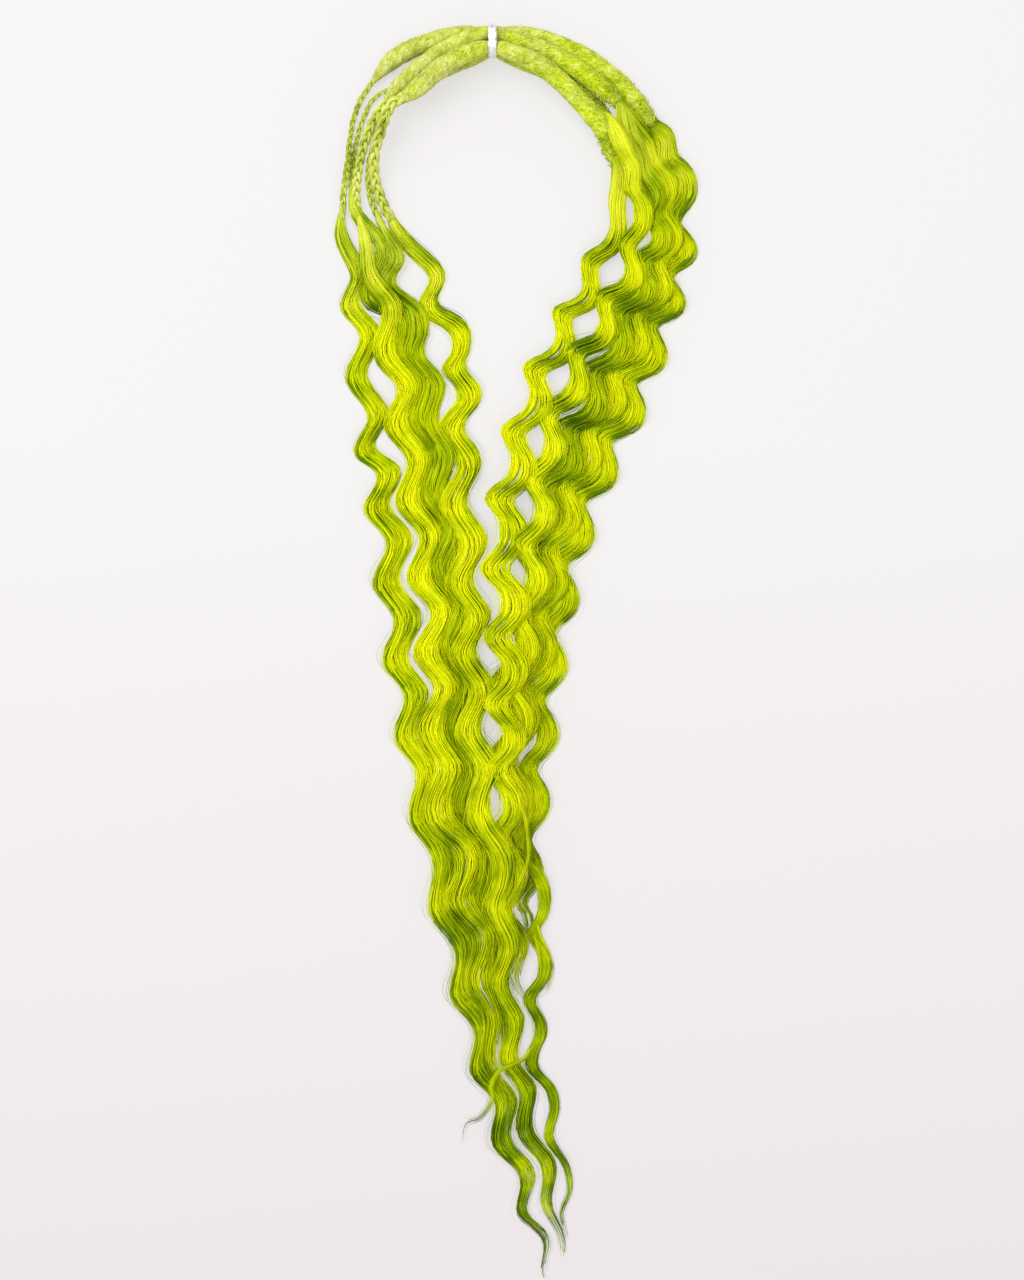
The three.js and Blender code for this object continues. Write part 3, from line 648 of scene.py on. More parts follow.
class StrandTree(NodeTree):
    """A Geometry Nodes group with named inputs, and the steps that the hair groups share."""

    def __init__(self, name: str, counts: Sequence[str], sizes: Sequence[str]) -> None:
        """Makes the group.

        Args:
            name: The group's name.
            counts: The inputs that are whole numbers.
            sizes: The inputs that are lengths or shares.
        """
        super().__init__(bpy.data.node_groups.new(name, "GeometryNodeTree"))
        face = self.tree.interface
        kinds = dict.fromkeys(counts, "Int") | dict.fromkeys(sizes, "Float") | {"Material": "Material"}
        for label, kind in ({"Geometry": "Geometry"} | kinds).items():
            face.new_socket(label, in_out="INPUT", socket_type=f"NodeSocket{kind}")
        face.new_socket("Geometry", in_out="OUTPUT", socket_type="NodeSocketGeometry")
        self.source = self.add("NodeGroupInput")

    def given(self, name: str) -> Value:
        """One of the group's inputs."""
        return Value(self, self.pick(self.source.outputs, name))

    def named(self, name: str, kind: str = "FLOAT") -> Value:
        """A named attribute of the geometry."""
        return self.out("GeometryNodeInputNamedAttribute", "Attribute", {"Name": name}, data_type=kind)

    def stored(self, geometry: Value, name: str, value: Value, kind: str = "FLOAT") -> Value:
        """The geometry with a value stored on its points under a name."""
        inputs = {"Geometry": geometry, "Name": name, "Value": value}
        return self.out("GeometryNodeStoreNamedAttribute", "Geometry", inputs, data_type=kind, domain="POINT")

    def random(self, identity: Value, low: float, high: float, shift: int, seed: str = "Seed") -> Value:
        """A random number for each identity, fixed by one of the group's seeds."""
        inputs = {"Min": low, "Max": high, "ID": identity, "Seed": self.given(seed) + float(shift)}
        return self.out("FunctionNodeRandomValue", "Value", inputs, data_type="FLOAT")

    def copies(self, amount: Value) -> list[Value]:
        """Copies of the group's line.

        Args:
            amount: How many there are.

        Returns:
            The copies, and the number that each one has.
        """
        curve = self.out("GeometryNodeMeshToCurve", 0, {"Mesh": self.given("Geometry")})
        inputs = {"Geometry": curve, "Amount": amount}
        names, kind = ("Geometry", "Duplicate Index"), "GeometryNodeDuplicateElements"
        return self.outs(names, kind, inputs, domain="SPLINE")

    def wandered(self, pace: float, owner: Value, seed: Value, reach: Value) -> list[Value]:
        """A slow drift along the run.

        Args:
            pace: How fast it changes along the run.
            owner: A number that gives each strand or bunch a drift of its own.
            seed: A number that gives each lock or layer drifts of its own.
            reach: How far it goes.

        Returns:
            The way across and the way up.
        """
        place = self.combined(self.named("run") * pace, owner, seed)
        drift = self.vector("SUBTRACT", {0: self.noise(place, 1.0, 1.0, output="Color"), 1: (0.5, 0.5, 0.5)})
        return self.parts(self.vector("SCALE", {0: drift, "Scale": reach}))[:2]

    def moved(self, curve: Value, across: Value, up: Value, radius: Value) -> Value:
        """Moves strands sideways and up, but never into the surface below.

        Args:
            curve: The strands.
            across: The way along the stored side direction.
            up: The way up.
            radius: The height over the surface that is kept.

        Returns:
            The moved strands.
        """
        aside = self.vector("SCALE", {0: self.named("side", "FLOAT_VECTOR"), "Scale": across})
        x, y, z = self.parts(self.vector("ADD", {0: self.out("GeometryNodeInputPosition"), 1: aside}))
        target = self.combined(x, y, self.math("MAXIMUM", z + up, radius))
        return self.out("GeometryNodeSetPosition", 0, {"Geometry": curve, "Position": target})

    def swept(self, curve: Value, radius: Value, sides: Value | int) -> Value:
        """Gives curves a closed round section, which is stored for the hair finish.

        Args:
            curve: The curves.
            radius: Their radius.
            sides: How many sides the section has.

        Returns:
            The curves as closed meshes.
        """
        circle = self.out("GeometryNodeCurvePrimitiveCircle", "Curve", {"Resolution": sides, "Radius": 1.0})
        ring = self.stored(circle, "strand_round", self.out("GeometryNodeInputPosition"), "FLOAT_VECTOR")
        inputs = {"Curve": curve, "Profile Curve": ring, "Scale": radius, "Fill Caps": True}
        return self.out("GeometryNodeCurveToMesh", "Mesh", inputs)

    def scattered(self, shape: Value, density: Value, first: int, lean: Value | float, sizes: Point,
                  palest: float, growth: Value | float) -> Value:
        """Copies of a shape that stand all over the group's surface.

        Args:
            shape: The mesh of one copy.
            density: Copies for each square metre.
            first: The number of the first random draw, which also gives the kind spots of its own.
            lean: The farthest turn away from upright, in radians.
            sizes: The smallest and largest size.
            palest: The lowest tone.
            growth: What the sizes are multiplied by.

        Returns:
            The copies as meshes.
        """
        seed = self.given("Seed") + float(5 * (first - 1))
        inputs = {"Mesh": self.given("Geometry"), "Density": density, "Seed": seed}
        spots, rotation = self.outs(("Points", "Rotation"), "GeometryNodeDistributePointsOnFaces", inputs,
                                    distribute_method="RANDOM")
        index = self.out("GeometryNodeInputIndex")
        points = self.stored(spots, "strand_tone", self.random(index, palest, 1.0, first))
        leaning = [self.random(index, -1.0, 1.0, first + step) * lean for step in (1, 2)]
        spin = self.combined(*leaning, self.random(index, 0.0, TURN, first + 3))
        spin = {"Rotation": rotation, "Rotate By": spin}
        turned = self.out("FunctionNodeRotateRotation", "Rotation", spin, rotation_space="LOCAL")
        size = self.random(index, *sizes, first + 4) * growth
        copies = {"Points": points, "Instance": shape, "Rotation": turned, "Scale": size}
        placed = self.out("GeometryNodeInstanceOnPoints", 0, copies)
        return self.out("GeometryNodeRealizeInstances", 0, {"Geometry": placed})

    def finish(self, geometry: Value) -> bpy.types.NodeTree:
        """Ends the group with smooth real meshes above the surface, in their material.

        Args:
            geometry: What the group has made.

        Returns:
            The group's tree.
        """
        smooth = self.out("GeometryNodeSetShadeSmooth", 0, {"Geometry": geometry})
        x, y, z = self.parts(self.out("GeometryNodeInputPosition"))
        resting = self.combined(x, y, self.math("MAXIMUM", z, 0.0))
        lying = self.out("GeometryNodeSetPosition", 0, {"Geometry": smooth, "Position": resting})
        real = self.out("GeometryNodeRealizeInstances", 0, {"Geometry": lying})
        inputs = {"Geometry": real, "Material": self.given("Material")}
        dressed = self.out("GeometryNodeSetMaterial", 0, inputs)
        self.add("NodeGroupOutput", {0: dressed})
        return self.tree


def wavy_strands() -> bpy.types.NodeTree:
    """The group that fills a wavy lock with strands.

    Each strand runs beside the lock's middle line, swings with its waves and keeps a place of its own
    in the lock's section. Neighbouring strands form bunches that drift apart and together.

    Returns:
        The group's tree.
    """
    sizes = ("Strand Radius", "Reach", "Splay", "Top Share", "Phase Jitter", "Swing Jitter", "Wander", "Roll",
             "Lobe", "Edge Shade", "Bunching", "Tip Jitter", "Tip Share", "Full Width")
    group = StrandTree("wavy_strands", ("Strands", "Sides", "Seed", "Lock Seed"), sizes)
    given, named, random = group.given, group.named, group.random
    strands, number = group.copies(given("Strands"))
    factor = group.out("GeometryNodeSplineParameter", "Factor")
    half_width = named("half_width")

    spread = group.math("FRACT", number * GOLDEN_SHARE + given("Seed") * SEED_STRIDE)
    bunch = group.math("FLOOR", spread * BUNCHES)
    aside = (spread * 2.0 - 1.0) * given("Reach")
    room = group.math("SQRT", group.math("MAXIMUM", 1.0 - abs(aside) ** 2.0, 0.08))
    is_top = group.math("LESS_THAN", random(number, 0.0, 1.0, 8), given("Top Share"))
    above = random(number, 0.35, 1.0, 2) * (is_top * 2.0 - 1.0) * room

    own_phase = random(number, -1.0, 1.0, 3) * given("Phase Jitter")
    bunch_phase = random(bunch, -BUNCH_PHASE, BUNCH_PHASE, 21, "Lock Seed") * given("Bunching")
    phase = named("wave") + (own_phase + bunch_phase)
    own_swing = random(number, -1.0, 1.0, 4) * given("Swing Jitter")
    swing_share = own_swing + random(bunch, 0.9, 1.1, 22, "Lock Seed")
    wave = group.cosine(phase * 2.0) * given("Lobe") + group.sine(phase)
    swing = named("swing") * swing_share * wave

    room_share = (half_width / given("Full Width")).held(0.0, 1.0)
    loose = given("Wander") * ((factor * 2.4 + 1.0) * room_share)
    wander = group.wandered(22.0, number * 7.31, given("Seed") * 3.17, loose)
    drift_reach = half_width * 0.5 * given("Bunching")
    drift = group.wandered(17.0, bunch * 5.17, given("Lock Seed") * 2.3, drift_reach)

    roll = group.cosine(phase) * given("Roll")
    flat, steep = group.cosine(roll), group.sine(roll)
    wide = half_width * aside * (factor**2.0 * given("Splay") + 1.0)
    tall = named("half_rise") * above
    across = swing + (wide * flat - tall * steep) + (wander[0] + drift[0])
    up = wide * steep + tall * flat + (wander[1] + drift[1])

    taper = ((1.0 - factor) / given("Tip Share")).held(0.05, 1.0) ** 0.5
    radius = given("Strand Radius") * random(number, 0.55, 1.25, 5) * (taper * room_share**0.4)
    placed = group.moved(strands, across, up, given("Strand Radius"))
    end = 1.0 - random(number, 0.0, 1.0, 6) * given("Tip Jitter")
    cut = group.out("GeometryNodeTrimCurve", 0, {"Curve": placed, "End": end}, mode="FACTOR")
    slant = abs(group.parts(group.out("GeometryNodeInputTangent"))[0])
    shade = above * -0.1 + abs(aside) ** 2.0 * given("Edge Shade")
    tone = random(number, 0.0, 1.0, 7) * 0.6 + random(bunch, 0.0, 0.4, 23, "Lock Seed")
    for name, value in (("strand_slant", slant), ("strand_shade", shade), ("strand_tone", tone)):
        cut = group.stored(cut, name, value)
    return group.finish(group.swept(cut, radius, given("Sides")))


def plaited_strands() -> bpy.types.NodeTree:
    """The group that lays three strands over each other along a plait, each a small bunch.

    Returns:
        The group's tree.
    """
    sizes = ("Strand Radius", "Pitch", "Weave Across", "Weave Up", "Bunch Reach", "Full Width")
    group = StrandTree("plaited_strands", ("Bunch", "Sides", "Seed"), sizes)
    given, named, random = group.given, group.named, group.random
    strands, number = group.copies(given("Bunch") * 3.0)
    half_width = named("half_width")

    strand = group.math("FLOORED_MODULO", number, 3.0)
    member = group.math("FLOOR", number / 3.0)
    turn = named("run") / given("Pitch") * TURN
    weave = strand * (TURN / 3) + turn
    side_way = group.sine(weave) * (half_width * given("Weave Across"))
    up_way = group.sine(weave * 2.0) * (named("half_rise") * given("Weave Up"))
    around = member * (TURN * GOLDEN_SHARE) + turn * 0.35
    away = half_width * given("Bunch Reach") * random(number, 0.7, 1.1, 2)

    slim = (half_width / given("Full Width")).held(0.0, 1.5) ** 0.8
    radius = given("Strand Radius") * (random(number, 0.85, 1.12, 5) * slim)
    across, up = group.cosine(around) * away + side_way, group.sine(around) * away + up_way
    placed = group.moved(strands, across, up, radius)
    toned = group.stored(placed, "strand_tone", random(number, 0.0, 1.0, 7))
    return group.finish(group.swept(toned, radius, given("Sides")))


def felt_fuzz() -> bpy.types.NodeTree:
    """The group that adds short bent fibres all over a felted surface, and curls where it is frayed.

    Returns:
        The group's tree.
    """
    sizes = ("Density", "Fibre Length", "Fibre Radius", "Lean", "Curl Density", "Curl Radius",
             "Curl Thickness")
    group = StrandTree("felt_fuzz", ("Seed",), sizes)
    given, fray = group.given, group.named("fray")
    length = given("Fibre Length")
    bend = {
        "Resolution": 2,
        "Start": (0.0, 0.0, 0.0),
        "Middle": group.combined(0.0, 0.0, length * 0.7),
        "End": group.combined(length, 0.0, length * 0.55),
    }
    fibre = group.swept(group.out("GeometryNodeCurveQuadraticBezier", 0, bend), given("Fibre Radius"), 3)
    fuzz = group.scattered(fibre, given("Density") * (fray * 1.6 + 1.0), 1, given("Lean"), (0.5, 1.3), 0.0,
                           fray * 0.9 + 1.0)
    loop = {"Resolution": 9, "Radius": given("Curl Radius"), "Start Angle": 0.0, "Sweep Angle": 5.2}
    curl = group.swept(group.out("GeometryNodeCurveArc", 0, loop, mode="RADIUS"), given("Curl Thickness"), 3)
    frayed = fray.held(0.0, 1.0) ** 1.5
    curls = group.scattered(curl, given("Curl Density") * frayed, 11, 1.3, (0.6, 1.35), 0.3, 1.0)
    joined = group.add("GeometryNodeJoinGeometry")
    for part in (fuzz, curls, given("Geometry")):
        group.tree.links.new(part.socket, joined.inputs[0])
    return group.finish(Value(group, joined.outputs[0]))


def carrying_mesh(points: Any, edges: Any, faces: Any, attributes: dict[str, np.ndarray]) -> bpy.types.Mesh:
    """A mesh whose points carry attributes.

    Args:
        points: X, Y and Z of each point.
        edges: Pairs of points.
        faces: Rings of points.
        attributes: Numbers or vectors for each point, by name.

    Returns:
        The mesh.
    """
    mesh = bpy.data.meshes.new("source")
    mesh.from_pydata(points, edges, faces)
    for label, values in attributes.items():
        kind, key = ("FLOAT_VECTOR", "vector") if values.ndim == 2 else ("FLOAT", "value")
        layer = mesh.attributes.new(label, kind, "POINT")
        layer.data.foreach_set(key, values.astype(np.float32).ravel())
    return mesh


def ring_faces(rings: int, sides: int, round_again: bool) -> list[tuple[int, ...]]:
    """The faces of a tube whose points stand in rings.

    Args:
        rings: How many rings there are.
        sides: How many points each ring has.
        round_again: Whether the last ring joins the first one. If not, flat faces close both ends.

    Returns:
        The faces, as numbers of points.
    """
    faces = []
    for ring in range(rings if round_again else rings - 1):
        near, far = ring * sides, (ring + 1) % rings * sides
        for corner in range(sides):
            following = (corner + 1) % sides
            faces.append((near + corner, near + following, far + following, far + corner))
    if not round_again:
        last = (rings - 1) * sides
        faces += [tuple(range(sides - 1, -1, -1)), tuple(range(last, last + sides))]
    return faces


class Workshop:
    """Turns guide lines and surfaces into finished meshes with the shared groups."""

    def __init__(self) -> None:
        """Makes the shared groups."""
        self.wavy, self.plaited, self.fuzz = wavy_strands(), plaited_strands(), felt_fuzz()

    @staticmethod
    def grown(source: bpy.types.Mesh, tree: bpy.types.NodeTree, **sizes: Any) -> bpy.types.Mesh:
        """Runs a group on a mesh.

        Args:
            source: What the group starts from.
            tree: The group.
            sizes: Values for the group's inputs, by their names in small letters.

        Returns:
            The result as a plain mesh.
        """
        holder = bpy.data.objects.new("holder", source)
        bpy.context.collection.objects.link(holder)
        modifier = holder.modifiers.new("strands", "NODES")
        modifier.node_group = tree
        for item in tree.interface.items_tree:
            name = item.name.lower().replace(" ", "_")
            if item.in_out == "INPUT" and name in sizes:
                modifier[item.identifier] = sizes[name]
        bpy.context.view_layer.update()
        depsgraph = bpy.context.evaluated_depsgraph_get()
        result = bpy.data.meshes.new_from_object(holder.evaluated_get(depsgraph), depsgraph=depsgraph)
        bpy.data.objects.remove(holder)
        return result

    def strands(self, line: Line, tree: bpy.types.NodeTree, **sizes: Any) -> bpy.types.Mesh:
        """Runs a group on a guide line with its attributes."""
        edges = [(index, index + 1) for index in range(len(line[0]) - 1)]
        return self.grown(carrying_mesh(line[0], edges, [], line[1]), tree, **sizes)

    @staticmethod
    def settle(name: str, meshes: Sequence[bpy.types.Mesh], material: bpy.types.Material, node: str,
               slot: str) -> None:
        """Joins meshes into one piece that rides on the body in the place of a node.

        Args:
            name: The piece's name.
            meshes: The meshes, which are used up.
            material: The finish that they all have.
            node: The frame's node that the piece stands for.
            slot: The record's material slot. It is not used.
        """
        parts = [bpy.data.objects.new(name, mesh) for mesh in meshes]
        for part in parts:
            bpy.context.collection.objects.link(part)
        piece = parts[0]
        if len(parts) > 1:
            chosen = {"active_object": piece, "selected_editable_objects": parts, "selected_objects": parts}
            with bpy.context.temp_override(**chosen):
                bpy.ops.object.join()
        piece.name = piece.data.name = name
        piece.data.materials.clear()
        piece.data.materials.append(material)
        piece.data.polygons.foreach_set("use_smooth", np.ones(len(piece.data.polygons), dtype=bool))
        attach(piece, BODY)
        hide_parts(node)
        LOG.info("%s: %d faces", piece.name, len(piece.data.polygons))


def linear(red: int, green: int, blue: int) -> Colour:
    """A colour given in 0 to 255, as the linear values that a shader takes."""
    shares = (channel / 255 for channel in (red, green, blue))
    return tuple(c / 12.92 if c <= 0.04045 else ((c + 0.055) / 1.055) ** 2.4 for c in shares)


class ShaderTree(NodeTree):
    """The nodes of a new material, with the steps that the finishes share."""

    def __init__(self, name: str) -> None:
        """Makes the material, with no nodes but the one that gives the place.

        Args:
            name: The material's name.
        """
        self.material = bpy.data.materials.new(name)
        self.material.use_nodes = True
        super().__init__(self.material.node_tree)
        self.tree.nodes.clear()
        self.place = self.out("ShaderNodeTexCoord", "Object")

    def attribute(self, name: str, output: str = "Fac") -> Value:
        """A named attribute of the surface, as a number or as a vector."""
        return self.out("ShaderNodeAttribute", output, attribute_name=name)

    def ramp(self, factor: Value, stops: Stops) -> Value:
        """A colour ramp.

        Args:
            factor: What drives it.
            stops: Places from 0 to 1 with their colours.

        Returns:
            The colour.
        """
        node = self.add("ShaderNodeValToRGB", {"Fac": factor})
        elements = node.color_ramp.elements
        while len(elements) < len(stops):
            elements.new(0.5)
        for element, (place, colour) in zip(elements, stops):
            element.position = place
            element.color = (*colour, 1.0)
        return Value(self, node.outputs[0])

    def mixed(self, share: Value, low: Value, high: Value) -> Value:
        """A colour between two others."""
        colours = {"Factor": share, "A": low, "B": high}
        return self.out("ShaderNodeMix", "Result", colours, data_type="RGBA", blend_type="MIX")

    def bumped(self, strength: float, depth: float, height: Value) -> Value:
        """The direction that the surface faces under a fine relief."""
        return self.out("ShaderNodeBump", 0, {"Strength": strength, "Distance": depth, "Height": height})

    def finished(self, looks: Inputs) -> bpy.types.Material:
        """Ends the material with its surface.

        Args:
            looks: What the surface's inputs hold, or the values that feed them.

        Returns:
            The material.
        """
        surface = self.out("ShaderNodeBsdfPrincipled", 0, looks)
        self.add("ShaderNodeOutputMaterial", {"Surface": surface})
        return self.material


@dataclass(frozen=True)
class HairFinish:
    """Silky dyed fibre: fine streaks along the strands, painted shade where they slant, in patches and towards
    the tips, greener at the tips.
    """

    name: str
    dark: Colour
    middle: Colour
    bright: Colour
    tip: Colour
    root: Colour
    pale: Colour
    roughness: float = 0.4
    streaks_around: float = 3.6
    streaks_along: float = 24.0
    strand_stride: float = 61.0
    patch_scale: float = 55.0
    tip_span: Point = (-0.05, -0.22)
    tip_share: float = 0.92
    tip_shadow: float = 0.3

    def material(self) -> bpy.types.Material:
        """Builds the material.

        Returns:
            The material.
        """
        nodes = ShaderTree(self.name)
        tone = nodes.attribute("strand_tone")
        ring = {0: nodes.attribute("strand_round", "Vector"), "Scale": self.streaks_around}
        ring_x, ring_y, _ = nodes.parts(nodes.vector("SCALE", ring))
        along = nodes.attribute("run") * self.streaks_along
        streaks = nodes.noise(nodes.combined(tone * self.strand_stride + ring_x, ring_y, along), 1.0, 3.0, 0.6)
        # Painted shade: slanting strands are darkened, random patches stand in for shade between crossing
        # locks, and the strands' stored painted shade (edges, lower strands) is taken off.
        patches = nodes.noise(nodes.place, self.patch_scale, 2.0)
        leaning = nodes.ranged(nodes.attribute("strand_slant"), 0.3, 0.95, 0.06, -0.2)
        lit = patches * 0.85 - 0.37 - nodes.attribute("strand_shade")
        value = streaks * 0.8 + (tone * 0.34 - 0.1) + leaning + lit
        full = nodes.ramp(value, ((0.24, self.dark), (0.48, self.middle), (0.72, self.bright)))

        # Greener and darker towards the tips, by place along Y: the hair's own colour, with painted shade
        # where the light falls off towards the bottom.
        towards_tip = nodes.ranged(nodes.parts(nodes.place)[1], *self.tip_span, 0.0, self.tip_share)
        shadow = tuple(self.tip_shadow * channel for channel in self.tip)
        tips = nodes.ramp(value, ((0.3, shadow), (0.52, self.tip), (0.78, self.middle)))
        tipped = nodes.mixed(towards_tip * (patches * -1.6 + 1.8), full, tips)
        roots = nodes.ramp(value, ((0.25, self.dark), (0.48, self.root), (0.72, self.pale)))
        return nodes.finished({
            "Base Color": nodes.mixed(nodes.attribute("root_share"), tipped, roots),
            "Roughness": self.roughness,
            "Specular IOR Level": 0.3,
            "Specular Tint": (0.97, 1.0, 0.12, 1.0),
            "Normal": nodes.bumped(0.3, 0.2 * MM, streaks),
        })


@dataclass(frozen=True)
class FeltFinish:
    """Felted fibre: pale, matt and mottled, wound in slanting threads, more vivid towards the frayed end."""

    name: str
    dark: Colour
    middle: Colour
    pale: Colour
    vivid: Colour
    deep: Colour
    roughness: float = 0.9
    mottle_scales: tuple[float, float, float] = (170.0, 900.0, 75.0)

    def material(self) -> bpy.types.Material:
        """Builds the material.

        Returns:
            The material.
        """
        nodes = ShaderTree(self.name)
        clouds, grain, blotches = (nodes.noise(nodes.place, scale, 3.0, 0.6) for scale in self.mottle_scales)
        threads = nodes.noise(nodes.attribute("wound", "Vector"), 1.0, 4.0, 0.6)
        mottled = clouds * 0.4 + (grain * 0.35 + threads * 0.4)
        value = mottled + (nodes.attribute("strand_tone") * 0.16 - 0.12)
        faded = nodes.ramp(value, ((0.38, self.dark), (0.54, self.middle), (0.72, self.pale)))
        strong = nodes.ramp(value, ((0.42, self.deep), (0.58, self.vivid), (0.74, self.pale)))
        share = nodes.attribute("vivid") + (blotches * 1.8 - 0.9)
        return nodes.finished({
            "Base Color": nodes.mixed(share, faded, strong),
            "Roughness": self.roughness,
            "Specular IOR Level": 0.12,
            "Sheen Weight": 0.2,
            "Sheen Roughness": 0.5,
            "Sheen Tint": (0.95, 1.0, 0.6, 1.0),
            "Normal": nodes.bumped(0.75, 0.6 * MM, grain * 0.35 + threads),
        })


@dataclass(frozen=True)
class FoilFinish:
    """Bright crumpled foil."""

    name: str
    colour: Colour
    shade: Colour
    crease_scale: float = 600.0
    cloud_scale: float = 420.0

    def material(self) -> bpy.types.Material:
        """Builds the material.

        Returns:
            The material.
        """
        nodes = ShaderTree(self.name)
        cells = {"Vector": nodes.place, "Scale": self.crease_scale}
        creases = nodes.out("ShaderNodeTexVoronoi", "Distance", cells, feature="DISTANCE_TO_EDGE")
        cloud = nodes.noise(nodes.place, self.cloud_scale, 3.0)
        return nodes.finished({
            "Base Color": nodes.ramp(cloud, ((0.35, self.shade), (0.6, self.colour))),
            "Metallic": 0.85,
            "Roughness": cloud * 0.25 + 0.16,
            "Normal": nodes.bumped(0.5, 0.4 * MM, creases + cloud),
        })


@dataclass(frozen=True)
class StrandLayer:
    """How one layer of a lock's strands is set. The fields are inputs of the wavy group."""

    strands: int
    sides: int
    strand_radius: float
    reach: float
    splay: float
    top_share: float
    phase_jitter: float
    swing_jitter: float
    wander: float
    tip_jitter: float
    tip_share: float
    edge_shade: float = 0.12
    bunching: float = 1.0


LOCK_LAYERS = (
    StrandLayer(8, 4, 1.05 * MM, reach=0.84, splay=0.25, top_share=0.0, phase_jitter=0.02, swing_jitter=0.01,
                wander=0.15 * MM, tip_jitter=0.05, tip_share=0.2, edge_shade=0.3, bunching=0.25),
    StrandLayer(42, 3, 0.37 * MM, reach=0.97, splay=0.3, top_share=0.85, phase_jitter=0.15, swing_jitter=0.08,
                wander=0.5 * MM, tip_jitter=0.1, tip_share=0.22),
    StrandLayer(26, 3, 0.16 * MM, reach=1.06, splay=0.8, top_share=0.9, phase_jitter=0.26, swing_jitter=0.14,
                wander=1.1 * MM, tip_jitter=0.16, tip_share=0.3, edge_shade=-0.04),
    StrandLayer(10, 3, 0.1 * MM, reach=1.25, splay=1.2, top_share=0.7, phase_jitter=0.6, swing_jitter=0.35,
                wander=3.8 * MM, tip_jitter=0.3, tip_share=0.5, edge_shade=-0.08),
)
WISP_LAYERS = (
    StrandLayer(3, 4, 0.36 * MM, reach=0.6, splay=0.4, top_share=0.6, phase_jitter=0.0, swing_jitter=0.0,
                wander=0.5 * MM, tip_jitter=0.3, tip_share=0.6),
    StrandLayer(7, 3, 0.12 * MM, reach=1.0, splay=1.2, top_share=0.6, phase_jitter=0.0, swing_jitter=0.0,
                wander=1.4 * MM, tip_jitter=0.25, tip_share=0.6),
)


@dataclass(frozen=True)
class BunchLayer:
    """How one layer of a plait's fibres is set. The fields are inputs of the plaited group."""

    bunch: int
    sides: int
    strand_radius: float
    bunch_reach: float


PLAIT_LAYERS = (
    BunchLayer(1, 6, 0.8 * MM, 0.0), BunchLayer(8, 4, 0.36 * MM, 0.26), BunchLayer(5, 3, 0.12 * MM, 0.42)
)


